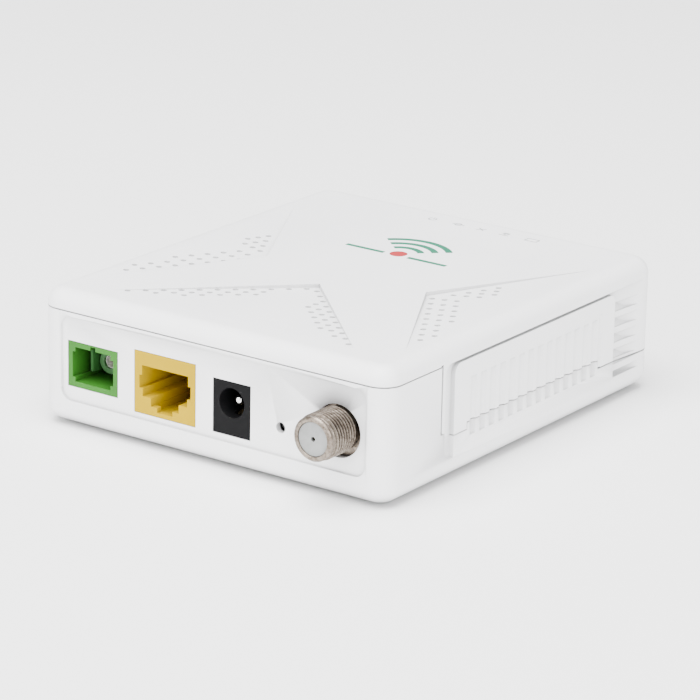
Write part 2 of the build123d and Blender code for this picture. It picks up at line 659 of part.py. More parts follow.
def main_board():
    """Circuit board notched round the case screws."""
    width = BOARD_X[1] - BOARD_X[0]
    depth = BOARD_Y[1] - BOARD_Y[0]
    middle_y = (BOARD_Y[0] + BOARD_Y[1]) / 2
    board = prism(Pos(0, middle_y) * RectangleRounded(width, depth, BOARD_CORNER), BOARD_LOW, BOARD_TOP)
    for x, y in CASE_SCREWS:
        outer_x = sorted((x, HALF_WIDTH if x > 0 else -HALF_WIDTH))
        room = BASE_BOSS_RADIUS + BOSS_CLEARANCE
        board = board - post(x, y, room, BOARD_LOW - 1, BOARD_TOP + 1)
        board = board - block(outer_x, (y - room, y + room), (BOARD_LOW - 1, BOARD_TOP + 1))
    for x, y in BOARD_SCREWS:
        board = board - post(x, y, BOARD_SCREW_PASS, BOARD_LOW - 1, BOARD_TOP + 1)
    for x, y, radius in leg_holes():
        board = board - post(x, y, radius, BOARD_LOW - 1, BOARD_TOP + 1)
    return board


def sc_housing():
    """Green receptacle: square mouth with a key slot, partition and rear room."""
    body = along_y(Rectangle(SC_WIDTH, SC_TALL), SC_X, SC_Z, PANEL_Y, SC_BACK)
    body = body + along_y(Rectangle(*SC_FLANGE), SC_X, SC_Z, *SC_FLANGE_Y)
    mouth = Rectangle(SC_MOUTH[0], SC_MOUTH[1] - 2 * SC_CORNER[1])
    mouth = mouth + Rectangle(SC_MOUTH[0] - 2 * SC_CORNER[0], SC_MOUTH[1])
    body = body - along_y(mouth, SC_X, SC_Z, PANEL_Y - 1, SC_MOUTH_BACK)
    key_z = SC_Z + SC_MOUTH[1] / 2
    key_half = SC_KEY[0] / 2
    body = body - block((SC_X - key_half, SC_X + key_half), (PANEL_Y - 1, SC_MOUTH_BACK + 6),
                        (key_z - 0.5, key_z + SC_KEY[1]))
    body = body - rod(SC_X, SC_Z, PARTITION_HOLE, SC_MOUTH_BACK - 1, SC_PARTITION_BACK + 1)
    return body - along_y(Rectangle(*SC_REAR_ROOM), SC_X, SC_Z, SC_PARTITION_BACK, SC_BACK + 1)


def sc_holder():
    """Insert that carries the alignment sleeve on the axis of the receptacle."""
    body = along_y(Rectangle(*HOLDER_PLATE), SC_X, SC_Z, *HOLDER_PLATE_Y)
    body = body + rod(SC_X, SC_Z, HOLDER_RADIUS, HOLDER_FRONT, HOLDER_BACK)
    body = body - rod(SC_X, SC_Z, SLEEVE_ROOM, SLEEVE_Y[0], HOLDER_BACK + 1)
    return body - rod(SC_X, SC_Z, FERRULE_RADIUS + 0.15, HOLDER_FRONT - 1, SLEEVE_Y[0] + 1)


def sc_sleeve():
    """Split ceramic tube."""
    tube = rod(SC_X, SC_Z, SLEEVE_RADIUS, *SLEEVE_Y) - rod(SC_X, SC_Z, SLEEVE_BORE, -50, -30)
    slit = block((SC_X - SLEEVE_SLIT / 2, SC_X + SLEEVE_SLIT / 2), (-50, -30), (SC_Z, SC_Z + 3))
    return tube - slit


def sc_ferrule():
    """Ceramic pin that ends the internal cord in the middle of the sleeve."""
    pin = rod(SC_X, SC_Z, FERRULE_RADIUS, *FERRULE_Y)
    return chamfer(pin.edges().sort_by(Axis.Y)[0], FERRULE_CHAMFER)


def sc_hook(side):
    """One springy arm beside the sleeve with an inward catch at its tip."""
    outline = [(side * HOOK_X[0], HOOK_Y[1]), (side * HOOK_X[1], HOOK_Y[1]),
               (side * HOOK_X[1], HOOK_Y[0]), (side * HOOK_X[0], HOOK_Y[0]),
               (side * HOOK_TIP_X, HOOK_Y[0] + HOOK_TIP_LENGTH / 2),
               (side * HOOK_TIP_X, HOOK_Y[0] + HOOK_TIP_LENGTH),
               (side * HOOK_X[0], HOOK_Y[0] + HOOK_TIP_LENGTH)]
    arm = prism(polygon(outline), SC_Z - HOOK_HALF_TALL, SC_Z + HOOK_HALF_TALL)
    return Pos(SC_X, 0, 0) * arm


def sc_cradle():
    """Plastic seat between the board and the receptacle."""
    floor_z = SC_Z - SC_TALL / 2
    seat = block((SC_X - CRADLE_X, SC_X + CRADLE_X), CRADLE_Y, (BOARD_TOP, floor_z))
    inner = (SC_X - CRADLE_X + 1.4, SC_X + CRADLE_X - 1.4)
    return seat - block(inner, (CRADLE_Y[0] + 1.4, CRADLE_Y[1] - 1.4), (BOARD_TOP - 1, floor_z + 1))


def fibre_plug():
    """Body that holds the ferrule in the rear room of the receptacle."""
    body = along_y(Rectangle(*PLUG_BODY), SC_X, SC_Z, *PLUG_Y)
    body = body - rod(SC_X, SC_Z, HOLDER_RADIUS + 0.15, PLUG_Y[0] - 1, PLUG_POCKET_BACK)
    body = body - rod(SC_X, SC_Z, FERRULE_RADIUS + 0.02, PLUG_Y[0] - 1, FERRULE_Y[1])
    return body - rod(SC_X, SC_Z, CORD_ROOM, PLUG_Y[0] - 1, PLUG_Y[1] + 1)


def fibre_boot():
    """Tapered sleeve that keeps the cord from kinking behind its plug."""
    length = BOOT_Y[1] - BOOT_Y[0]
    profile = [(CORD_ROOM, 0), (BOOT_RADII[1], 0), (BOOT_RADII[0], length), (CORD_ROOM, length)]
    return turned(profile, SC_X, SC_Z, BOOT_Y[1])


def cord_points():
    """Corners of the internal cord from the ferrule to the optical module."""
    return [(SC_X, CORD_START_Y, SC_Z), (SC_X, CORD_SLOPE_Y, SC_Z), (SC_X, CORD_TURN_Y, MODULE_Z),
            (MODULE_X, CORD_TURN_Y, MODULE_Z), (MODULE_X, MODULE_Y[1] + 0.3, MODULE_Z)]


def fibre_cord():
    """Internal fibre, one round sweep with wide bends."""
    path = FilletPolyline(*cord_points(), radius=CORD_BEND)
    start = Plane(origin=path @ 0, z_dir=path % 0)
    return sweep(start * Circle(CORD_RADIUS), path=path)


def cord_clips():
    """Two clips on the board that hold the cord."""
    fall = (SC_Z - MODULE_Z) / (CORD_TURN_Y - CORD_SLOPE_Y)
    side_z = SC_Z - fall * (CLIP_SIDE_Y - CORD_SLOPE_Y)
    across, along = CLIP_SIZE
    side = block((SC_X - across / 2, SC_X + across / 2), (CLIP_SIDE_Y - along / 2, CLIP_SIDE_Y + along / 2),
                 (BOARD_TOP, side_z + CLIP_OVER))
    side = side - rod(SC_X, side_z, CLIP_ROOM, CLIP_SIDE_Y - along, CLIP_SIDE_Y + along)
    back = block((CLIP_BACK_X - along / 2, CLIP_BACK_X + along / 2),
                 (CORD_TURN_Y - across / 2, CORD_TURN_Y + across / 2), (BOARD_TOP, MODULE_Z + CLIP_OVER))
    bore = Pos(CLIP_BACK_X, CORD_TURN_Y, MODULE_Z) * Rot(0, 90, 0) * Cylinder(CLIP_ROOM, 2 * along)
    return Compound([side, back - bore])


def optical_module():
    """Square optical block with two round cans and the nozzle that takes the cord."""
    square = (MODULE_X - MODULE_HALF, MODULE_X + MODULE_HALF)
    body = block(square, MODULE_Y, (BOARD_TOP, MODULE_Z + MODULE_HALF))
    front_end = MODULE_Y[0] - MODULE_CAN_LENGTH
    body = body + rod(MODULE_X, MODULE_Z, MODULE_CAN_RADIUS, front_end, MODULE_Y[0] + 0.2)
    side_x = MODULE_X + MODULE_HALF + MODULE_CAN_LENGTH / 2 - 0.1
    middle_y = (MODULE_Y[0] + MODULE_Y[1]) / 2
    can = Cylinder(MODULE_CAN_RADIUS, MODULE_CAN_LENGTH + 0.2)
    body = body + Pos(side_x, middle_y, MODULE_Z) * Rot(0, 90, 0) * can
    body = body + rod(MODULE_X, MODULE_Z, MODULE_NOZZLE_RADIUS, MODULE_Y[1] - 0.2, MODULE_NOZZLE_END)
    return body - rod(MODULE_X, MODULE_Z, CORD_ROOM, MODULE_Y[1], MODULE_NOZZLE_END + 1)


def rj_housing():
    """Socket shell with the stepped mouth, the comb room above it and a rear room."""
    body = along_y(Rectangle(RJ_WIDTH, RJ_TALL), RJ_X, RJ_Z, PANEL_Y, RJ_BACK)
    body = body - along_y(polygon(RJ_MOUTH), RJ_X, RJ_Z, PANEL_Y - 1, RJ_MOUTH_BACK)
    body = body - block((RJ_X - RJ_HOLLOW_HALF, RJ_X + RJ_HOLLOW_HALF), (PANEL_Y + RJ_LIP, RJ_MOUTH_BACK),
                        (RJ_Z + RJ_HOLLOW_Z[0], RJ_Z + RJ_HOLLOW_Z[1]))
    comb_x = (RJ_X - RJ_CARRIER_X - 0.15, RJ_X + RJ_CARRIER_X + 0.15)
    body = body - block(comb_x, (RJ_COMB_Y[0] - 0.3, RJ_MOUTH_BACK),
                        (RJ_Z + 3.0, RJ_Z + RJ_COMB_Z[1] + 0.05))
    room_z = (RJ_Z - RJ_TALL / 2 - 1, RJ_Z + RJ_COMB_Z[1] + 0.05)
    return body - block(comb_x, (RJ_MOUTH_BACK - 0.01, RJ_BACK + 1), room_z)


def rj_carrier():
    """Insert behind the mouth with the comb that guides the eight contacts."""
    limits = (RJ_X - RJ_CARRIER_X, RJ_X + RJ_CARRIER_X)
    body = block(limits, RJ_CARRIER_Y, (RJ_Z + RJ_CARRIER_Z[0], RJ_Z + RJ_CARRIER_Z[1]))
    comb = block(limits, (RJ_COMB_Y[0], RJ_CARRIER_Y[1]), (RJ_Z + RJ_COMB_Z[0], RJ_Z + RJ_COMB_Z[1]))
    bridge = block(limits, (RJ_CARRIER_Y[0], RJ_CARRIER_Y[1]),
                   (RJ_Z + RJ_CARRIER_Z[1] - 0.5, RJ_Z + RJ_COMB_Z[1]))
    body = body + comb + bridge
    legs = []
    for index in range(RJ_CONTACTS):
        x = RJ_X + (index - (RJ_CONTACTS - 1) / 2) * RJ_PITCH
        y = -30.2 + 1.8 * (index % 2)
        legs.append(post(x, y, RJ_LEG, RJ_LEG_LOW, RJ_Z + RJ_CARRIER_Z[0] + 0.5))
    return joined([body] + legs)


def rj_contacts():
    """Eight sprung wires that slope back and down inside the mouth."""
    run = RJ_WIRE_BACK[0] - RJ_WIRE_FRONT[0]
    fall = RJ_WIRE_BACK[1] - RJ_WIRE_FRONT[1]
    length = (run * run + fall * fall) ** 0.5
    wires = []
    for index in range(RJ_CONTACTS):
        x = RJ_X + (index - (RJ_CONTACTS - 1) / 2) * RJ_PITCH
        start = Plane(origin=(x, RJ_WIRE_FRONT[0], RJ_Z + RJ_WIRE_FRONT[1]), z_dir=(0, run, fall))
        wires.append(extrude(start * Circle(RJ_WIRE), length))
    return Compound(wires)


def dc_housing():
    """Power socket block with a round bore, a slot for the leaf and four pegs."""
    middle = (DC_Z[0] + DC_Z[1]) / 2
    body = along_y(Rectangle(DC_WIDTH, DC_Z[1] - DC_Z[0]), DC_X, middle, PANEL_Y, DC_BACK)
    body = body - rod(DC_X, DC_AXIS_Z, DC_BORE, PANEL_Y - 1, DC_BORE_BACK)
    body = body - rod(DC_X, DC_AXIS_Z, DC_PIN_ROOT_RADIUS + 0.02, DC_BORE_BACK - 1, DC_BACK + 1)
    slot = (DC_X - DC_SLOT_HALF, DC_X + DC_SLOT_HALF)
    body = body - block(slot, DC_SLOT_Y, (DC_SLOT_LOW, DC_AXIS_Z - DC_PIN_RADIUS - 0.8))
    for dx in (-3.6, 3.6):
        for y in (-45.0, -36.0):
            body = body + post(DC_X + dx, y, DC_PEG, BOARD_TOP, DC_Z[0] + 0.2)
    return body


def dc_pin():
    """Bright centre pin with a rounded tip and a thicker root in the housing."""
    pin = rod(DC_X, DC_AXIS_Z, DC_PIN_RADIUS, DC_PIN_FRONT, DC_PIN_BACK)
    pin = fillet(pin.edges().sort_by(Axis.Y)[0], DC_PIN_RADIUS * 0.8)
    return pin + rod(DC_X, DC_AXIS_Z, DC_PIN_ROOT_RADIUS, DC_BORE_BACK, DC_PIN_BACK)


def dc_leaf():
    """Sprung strip that presses on the outside of the plug."""
    upper = [(y, z) for y, z in DC_LEAF]
    lower = [(y, z - DC_LEAF_THICK) for y, z in reversed(DC_LEAF)]
    return along_x(polygon(upper + lower), DC_X - DC_LEAF_HALF, DC_X + DC_LEAF_HALF)


def dc_terminals():
    """Three flat solder legs: behind, under and beside the socket."""
    half = DC_TERMINAL[0] / 2
    thin = DC_TERMINAL[1] / 2
    (rear_x, rear_y), (low_x, low_y), (side_x, side_y) = DC_TERMINALS
    rear = block((rear_x - half, rear_x + half), (rear_y - thin, rear_y + thin), (LEG_LOW, DC_AXIS_Z))
    low = block((low_x - half, low_x + half), (low_y - thin, low_y + thin), (LEG_LOW, DC_Z[0]))
    side = block((side_x - thin, side_x + thin), (side_y - half, side_y + half), (LEG_LOW, DC_AXIS_Z))
    return Compound([rear, low, side])


def reset_body():
    """Square upright switch on four legs."""
    x_limits = (RESET_X - RESET_BODY, RESET_X + RESET_BODY)
    body = block(x_limits, RESET_BODY_Y, (RESET_Z - RESET_BODY, RESET_Z + RESET_BODY))
    bracket = block(x_limits, (RESET_BODY_Y[1], -37.8), (BOARD_TOP, RESET_Z - 1.2))
    foot = block(x_limits, (RESET_BODY_Y[1] - 1.6, RESET_BODY_Y[1] + 0.1),
                 (BOARD_TOP, RESET_Z - RESET_BODY + 0.1))
    body = body + bracket + foot
    body = body - rod(RESET_X, RESET_Z, RESET_STEM_RADIUS + 0.3, RESET_BODY_Y[0] - 1,
                      RESET_STEM_Y[1] + RESET_STEM_GAP + 0.3)
    legs = [post(RESET_X + dx, y, RESET_LEG, LEG_LOW, BOARD_TOP + 0.3) for dx, y in RESET_LEGS]
    return joined([body] + legs)


def reset_stem():
    """Round button behind the reset hole."""
    return rod(RESET_X, RESET_Z, RESET_STEM_RADIUS, *RESET_STEM_Y)


def f_shell():
    """Threaded barrel on a square block with four legs."""
    length = F_BLOCK_Y[0] - F_TIP
    profile = [(F_BORE, -1.0), (F_ROOT, -1.0), (F_ROOT, F_THREAD_START)]
    for index in range(F_THREADS):
        start = F_THREAD_START + index * F_PITCH
        profile.append((F_CREST, start + F_PITCH * 0.42))
        profile.append((F_CREST, start + F_PITCH * 0.58))
        profile.append((F_ROOT, start + F_PITCH))
    ring_start = length - F_RING_LENGTH
    profile += [(F_ROOT, ring_start - 0.1), (F_RING, ring_start + 0.1), (F_RING, length - F_CHAMFER),
                (F_RING - F_CHAMFER, length), (F_BORE, length)]
    barrel = turned(profile, F_X, F_Z, F_BLOCK_Y[0])
    body = block((F_X - F_BLOCK_X, F_X + F_BLOCK_X), F_BLOCK_Y, F_BLOCK_Z)
    body = body - rod(F_X, F_Z, F_BORE, F_BLOCK_Y[0] - 1, F_BORE_BACK)
    body = body - rod(F_X, F_Z, F_CONTACT_RADIUS + 0.6, F_BORE_BACK - 1, F_BLOCK_Y[1] + 1)
    legs = [post(F_X + dx, y, F_LEG, LEG_LOW, F_BLOCK_Z[0] + 0.5) for dx, y in F_LEGS]
    return joined([body, barrel] + legs)


def f_insulator():
    """Pale plug that centres the contact in the barrel."""
    plug = rod(F_X, F_Z, F_BORE - 0.02, *F_INSULATOR_Y)
    plug = plug - rod(F_X, F_Z, F_CONTACT_RADIUS + 0.02, F_CONTACT_Y[0], F_INSULATOR_Y[1] + 1)
    return plug - rod(F_X, F_Z, F_CONTACT_HOLE, F_INSULATOR_Y[0] - 1, F_CONTACT_Y[0] + 1)


def f_contact():
    """Hollow clip that grips the centre wire, with its bent leg."""
    tube = rod(F_X, F_Z, F_CONTACT_RADIUS, *F_CONTACT_Y)
    tube = tube - rod(F_X, F_Z, F_CONTACT_HOLE, F_CONTACT_Y[0] - 1, F_CONTACT_Y[0] + 10)
    back = F_CONTACT_Y[1]
    tail = rod(F_X, F_Z, 0.4, back - 1, -35.6) + post(F_X, -35.9, 0.4, BOARD_TOP, F_Z + 0.3)
    return tube + tail


def shield_can():
    """Pressed metal lid over the television receiver with rows of small holes."""
    x, y, size_x, size_y, tall = SHIELD
    can = on_board(*SHIELD)
    can = can - on_board(x, y, size_x - 2 * SHIELD_SHEET, size_y - 2 * SHIELD_SHEET, tall - SHIELD_SHEET)
    holes = []
    for column in range(5):
        for row in range(6):
            hole_x = x + (column - 2) * 3.6
            hole_y = y + (row - 2.5) * 3.6
            holes.append(post(hole_x, hole_y, SHIELD_HOLE, BOARD_TOP + tall - 1, BOARD_TOP + tall + 1))
    return can - Compound(holes)


def heatsink():
    """Finned block on the thermal pad."""
    x, y, size_x, size_y, tall = SINK
    lift = SOC[4] + PAD[4]
    body = on_board(x, y, size_x, size_y, tall, lift)
    gap = (size_x - SINK_FINS * SINK_FIN) / (SINK_FINS - 1)
    for index in range(SINK_FINS - 1):
        start = x - size_x / 2 + SINK_FIN + index * (SINK_FIN + gap)
        low = BOARD_TOP + lift + SINK_BASE
        body = body - block((start, start + gap), (y - size_y, y + size_y), (low, low + tall))
    return body


def transformer():
    """Moulded block with two rows of gull-wing legs."""
    x, y, size_x, size_y, tall = TRANSFORMER
    shapes = [on_board(x, y, size_x, size_y, tall - 0.3, 0.3)]
    for index in range(TRANSFORMER_PINS):
        pin_x = x + (index - (TRANSFORMER_PINS - 1) / 2) * 1.6
        shapes.append(on_board(pin_x, y, 0.5, size_y + 2.4, 0.6))
    return joined(shapes)


def capacitors():
    """Upright cans on square seats."""
    made = []
    for x, y, radius, tall in CAPACITORS:
        seat = on_board(x, y, 2 * radius, 2 * radius, 1.0)
        can = post(x, y, radius, BOARD_TOP + 0.9, BOARD_TOP + tall)
        made.append(seat + fillet(can.edges().sort_by(Axis.Z)[-1], 0.5))
    return Compound(made)


def inductors():
    """Square moulded inductors with end plates."""
    made = []
    for x, y, size_x, size_y, tall in INDUCTORS:
        core = on_board(x, y, size_x, size_y, tall)
        made.append(fillet(core.edges().filter_by(Axis.Z), 0.8))
    return Compound(made)


def chip_row():
    """Small ceramic capacitors and resistors."""
    size_x, size_y, tall = CHIP_SIZE
    return Compound([on_board(x, y, size_x, size_y, tall) for x, y in CHIP_ROW])


def header():
    """Four-pin service header."""
    width = HEADER_PINS * HEADER_PITCH
    shapes = [on_board(HEADER[0], HEADER[1], width, HEADER_PITCH, HEADER_PITCH)]
    for index in range(HEADER_PINS):
        x = HEADER[0] + (index - (HEADER_PINS - 1) / 2) * HEADER_PITCH
        half = HEADER_PIN
        shapes.append(block((x - half, x + half), (HEADER[1] - half, HEADER[1] + half),
                            (LEG_LOW, BOARD_TOP + HEADER_TALL)))
    return joined(shapes)


def light_guide():
    """Clear bar under the lid with one stem above each lamp."""
    bar = block((LAMP_X[0] - 2, LAMP_X[-1] + 2), (LAMP_Y - BAR_HALF, LAMP_Y + BAR_HALF), BAR_Z)
    return joined([bar] + [post(x, LAMP_Y, STEM_RADIUS, STEM_LOW, STEM_TOP) for x in LAMP_X])


def rubber_feet():
    """Four soft discs set into the underside."""
    made = []
    for x, y in FEET:
        disc = post(x, y, FOOT_RADIUS - 0.05, -FOOT_PROUD, FOOT_POCKET)
        made.append(fillet(disc.edges().sort_by(Axis.Z)[0], 0.3))
    return Compound(made)


def rating_label():
    """Blank sticker in its shallow pocket."""
    label = RectangleRounded(LABEL_SIZE[0], LABEL_SIZE[1], 1.0)
    return prism(Pos(0, LABEL_Y) * label, LABEL_SINK - LABEL_THICK, LABEL_SINK)


SHELL = case_shell()
keep("top_cover", top_cover(SHELL))
TRAY = whole_tray(SHELL)
keep("bottom_case", TRAY - panel_space(-HALF_WIDTH, HALF_WIDTH))
keep("port_panel_left", TRAY & panel_space(-HALF_WIDTH, PANEL_PARTING_X))
keep("port_panel_right", TRAY & panel_space(PANEL_PARTING_X, HALF_WIDTH))
keep("main_board", main_board())
keep("case_screws", screw_set(CASE_SCREWS, SCREW_RADIUS, SCREW_HEAD_TOP - 0.3, SCREW_TOP,
                              SCREW_HEAD_RADIUS, SCREW_HEAD_LOW, SCREW_HEAD_TOP,
                              (SCREW_HEAD_LOW - 1, SCREW_HEAD_LOW + DRIVE_SIZE[2])))
keep("board_screws", screw_set(BOARD_SCREWS, BOARD_SCREW_RADIUS, BOARD_SCREW_LOW, BOARD_TOP + 0.3,
                               BOARD_HEAD_RADIUS, BOARD_TOP, BOARD_TOP + BOARD_HEAD_HEIGHT,
                               (BOARD_TOP + BOARD_HEAD_HEIGHT - DRIVE_SIZE[2],
                                BOARD_TOP + BOARD_HEAD_HEIGHT + 1)))
keep("rubber_feet", rubber_feet())
keep("rating_label", rating_label())
keep("sc_housing", sc_housing())
keep("sc_holder", sc_holder())
keep("sc_sleeve", sc_sleeve())
keep("sc_ferrule", sc_ferrule())
keep("sc_hook_left", sc_hook(-1))
keep("sc_hook_right", sc_hook(1))
keep("sc_cradle", sc_cradle())
keep("fibre_plug", fibre_plug())
keep("fibre_boot", fibre_boot())
keep("fibre_cord", fibre_cord())
keep("cord_clips", cord_clips())
keep("optical_module", optical_module())
keep("rj45_housing", rj_housing())
keep("rj45_carrier", rj_carrier())
keep("rj45_contacts", rj_contacts())
keep("dc_housing", dc_housing())
keep("dc_pin", dc_pin())
keep("dc_leaf", dc_leaf())
keep("dc_terminals", dc_terminals())
keep("reset_switch", reset_body())
keep("reset_stem", reset_stem())
keep("f_shell", f_shell())
keep("f_insulator", f_insulator())
keep("f_contact", f_contact())
keep("shield_can", shield_can())
keep("soc_chip", on_board(*SOC))
keep("thermal_pad", on_board(*PAD, SOC[4]))
keep("heatsink", heatsink())
keep("memory_chip", on_board(*DDR))
keep("flash_chip", on_board(*FLASH))
keep("network_transformer", transformer())
keep("power_inductors", inductors())
keep("can_capacitors", capacitors())
keep("chip_capacitors", chip_row())
keep("crystal", on_board(*CRYSTAL))
keep("service_header", header())
keep("status_lamps", Compound([on_board(x, LAMP_Y, *LAMP_SIZE) for x in LAMP_X]))
keep("light_guide", light_guide())
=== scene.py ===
import bmesh
import bpy
import math
import numpy as np
from mathutils import Matrix, Vector


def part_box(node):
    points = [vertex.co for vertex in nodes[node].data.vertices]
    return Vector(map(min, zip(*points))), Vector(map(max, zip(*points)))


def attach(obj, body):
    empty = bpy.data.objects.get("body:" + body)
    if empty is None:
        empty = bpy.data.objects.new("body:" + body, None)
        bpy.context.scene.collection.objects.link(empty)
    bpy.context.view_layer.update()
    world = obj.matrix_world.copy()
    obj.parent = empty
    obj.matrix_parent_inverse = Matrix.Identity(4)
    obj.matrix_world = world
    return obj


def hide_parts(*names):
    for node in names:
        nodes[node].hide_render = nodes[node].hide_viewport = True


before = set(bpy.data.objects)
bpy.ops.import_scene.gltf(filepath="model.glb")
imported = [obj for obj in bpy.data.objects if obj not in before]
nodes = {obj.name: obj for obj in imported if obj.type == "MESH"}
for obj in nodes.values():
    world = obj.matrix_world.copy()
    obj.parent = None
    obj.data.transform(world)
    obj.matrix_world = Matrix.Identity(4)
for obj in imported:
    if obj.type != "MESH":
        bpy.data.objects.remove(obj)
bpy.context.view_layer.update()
MM = 0.001

# ---------------------------------------------------------------------------------------------
# Base tray. White moulded plastic, one piece with the socket wall; it carries every other part.
# The mould leaves a fine even grain, and handling polishes the outer edges a little.


def put(tree, kind, inputs=(), **settings):
    """Adds one shader node: its settings first, then a number or a link for each input."""
    made = tree.nodes.new(kind)
    for label, value in settings.items():
        setattr(made, label, value)
    for label, value in dict(inputs).items():
        if isinstance(value, bpy.types.NodeSocket):
            tree.links.new(value, made.inputs[label])
        else:
            made.inputs[label].default_value = value
    return made


def start_group(name, entries, results):
    """Empty node group with named inputs and outputs: (group, its input node, its output node)."""
    group = bpy.data.node_groups.new(name, "ShaderNodeTree")
    for label, kind, value in entries:
        socket = group.interface.new_socket(label, in_out="INPUT", socket_type=kind)
        if value is not None:
            socket.default_value = value
    for label, kind in results:
        group.interface.new_socket(label, in_out="OUTPUT", socket_type=kind)
    return group, group.nodes.new("NodeGroupInput"), group.nodes.new("NodeGroupOutput")


def stretch(tree, value, low, high, to_low=0.0, to_high=1.0):
    """Carries values between low and high to the new limits, and holds the rest at them."""
    made = put(tree, "ShaderNodeMapRange", {0: value, 1: low, 2: high, 3: to_low, 4: to_high})
    return made.outputs[0]


def spread(tree, mask, low, high):
    """Carries a mask that runs from 0 to 1 to the new limits."""
    return stretch(tree, mask, 0.0, 1.0, low, high)


def build_moulded_skin():
    """Grain height from two noises, a slow blotch, and sparse specks where a noise peaks."""
    entries = [("Place", "NodeSocketVector", None), ("Grain", "NodeSocketFloat", 4000.0),
               ("Blotch size", "NodeSocketFloat", 45.0)]
    results = [("Height", "NodeSocketFloat"), ("Blotch", "NodeSocketFloat"),
               ("Speck", "NodeSocketFloat")]
    group, start, end = start_group("moulded_skin", entries, results)
    fine = put(group, "ShaderNodeTexNoise", {"Vector": start.outputs[0], "Scale": start.outputs[1],
                                             "Detail": 3.0, "Roughness": 0.6})
    slow = put(group, "ShaderNodeTexNoise", {"Vector": start.outputs[0], "Scale": start.outputs[2],
                                             "Detail": 4.0, "Roughness": 0.55})
    dust = put(group, "ShaderNodeTexNoise", {"Vector": start.outputs[0], "Scale": 1400.0,
                                             "Detail": 1.0})
    group.links.new(fine.outputs[0], end.inputs[0])
    group.links.new(stretch(group, slow.outputs[0], 0.34, 0.66), end.inputs[1])
    group.links.new(stretch(group, dust.outputs[0], 0.74, 0.80), end.inputs[2])
    return group


def build_edge_wear():
    """Mask that rises where a rounded normal leaves the true one, broken up by a noise."""
    entries = [("Place", "NodeSocketVector", None), ("Radius", "NodeSocketFloat", 0.0003)]
    group, start, end = start_group("edge_wear", entries, [("Edge", "NodeSocketFloat")])
    round_normal = put(group, "ShaderNodeBevel", {"Radius": start.outputs[1]}, samples=6)
    true_normal = put(group, "ShaderNodeNewGeometry")
    alike = put(group, "ShaderNodeVectorMath", {0: round_normal.outputs[0],
                                                1: true_normal.outputs["Normal"]},
                operation="DOT_PRODUCT")
    edge = stretch(group, alike.outputs["Value"], 0.995, 0.80)
    patch = put(group, "ShaderNodeTexNoise", {"Vector": start.outputs[0], "Scale": 900.0, "Detail": 4.0})
    broken = put(group, "ShaderNodeMath", {0: edge, 1: stretch(group, patch.outputs[0], 0.35, 0.62)},
                 operation="MULTIPLY")
    group.links.new(broken.outputs[0], end.inputs[0])
    return group


def build_recess_shade():
    """Painted-shade mask from ambient occlusion: it rises where nearby surfaces close a point in, so
    recesses, gaps and spots near the floor are darkened as shade.
    """
    group, start, end = start_group("recess_shade", [("Reach", "NodeSocketFloat", 0.002)],
                                    [("Depth", "NodeSocketFloat")])
    openness = put(group, "ShaderNodeAmbientOcclusion", {"Distance": start.outputs[0]}, samples=8)
    group.links.new(stretch(group, openness.outputs["AO"], 0.975, 0.25), end.inputs[0])
    return group


moulded_skin = build_moulded_skin()
edge_wear = build_edge_wear()
recess_shade = build_recess_shade()


def use_group(tree, group, inputs):
    """Places a shared node group in a material with its own values."""
    return put(tree, "ShaderNodeGroup", inputs, node_tree=group)


def blend_colour(tree, factor, low, high):
    """Colour that goes from low to high as the factor rises."""
    made = put(tree, "ShaderNodeMix", {0: factor, 6: low, 7: high}, data_type="RGBA")
    return made.outputs[2]


def start_material(name):
    """Empty material: (material, node tree, Principled node, Object coordinates)."""
    material = bpy.data.materials.new(name)
    material.use_nodes = True
    tree = material.node_tree
    tree.nodes.clear()
    shader = tree.nodes.new("ShaderNodeBsdfPrincipled")
    result = tree.nodes.new("ShaderNodeOutputMaterial")
    tree.links.new(shader.outputs[0], result.inputs[0])
    place = tree.nodes.new("ShaderNodeTexCoord").outputs["Object"]
    return material, tree, shader, place


def shade(colour, amount):
    """The colour with each channel multiplied by the amount, and full alpha."""
    return tuple(channel * amount for channel in colour[:3]) + (1.0,)


def moulded(name, colour, rough, grain=4000.0, depth=0.00002, blotch=45.0, wear=0.12, radius=0.0003,
            soil=0.9, strength=0.25, round_off=0.0, sheen=0.5, painted_shade=0.3, reach=0.002):
    """Moulded plastic: the colour drifts with a slow blotch, lightens on worn edges and takes painted
    shade in recesses and gaps; the roughness drifts with the same blotch, and the mould grain is a bump."""
    material, tree, shader, place = start_material(name)
    shader.inputs["Specular IOR Level"].default_value = sheen
    skin = use_group(tree, moulded_skin, {"Place": place, "Grain": grain, "Blotch size": blotch})
    edge = use_group(tree, edge_wear, {"Place": place, "Radius": radius})
    body = blend_colour(tree, skin.outputs["Blotch"], shade(colour, soil), shade(colour, 1.0))
    faded = spread(tree, edge.outputs["Edge"], 0.0, wear)
    bright = tuple(min(1.0, channel * 1.5 + 0.05) for channel in colour)
    worn = blend_colour(tree, faded, body, shade(bright, 1.0))
    specked = blend_colour(tree, spread(tree, skin.outputs["Speck"], 0.0, 0.25), worn,
                           shade(colour, 0.72))
    shade_mask = use_group(tree, recess_shade, {"Reach": reach})
    # Painted shade: where the occlusion mask rises, the colour darkens towards a twelfth of itself.
    shaded_in_recesses = blend_colour(tree, spread(tree, shade_mask.outputs["Depth"], 0.0, painted_shade), specked,
                         shade(colour, 0.12))
    tree.links.new(shaded_in_recesses, shader.inputs["Base Color"])
    tree.links.new(spread(tree, skin.outputs["Blotch"], rough - 0.05, rough + 0.05),
                   shader.inputs["Roughness"])
    grain_bump = put(tree, "ShaderNodeBump", {"Height": skin.outputs["Height"], "Strength": strength,
                                              "Distance": depth})
    if round_off > 0.0:
        soft = put(tree, "ShaderNodeBevel", {"Radius": round_off}, samples=6)
        tree.links.new(soft.outputs[0], grain_bump.inputs["Normal"])
    tree.links.new(grain_bump.outputs[0], shader.inputs["Normal"])
    return material


def finish_node(node, material):
    """Gives a CAD node its finish through its object's material slots."""
    body = nodes[node]
    if not body.material_slots:
        body.data.materials.append(material)
    for entry in body.material_slots:
        entry.material = material


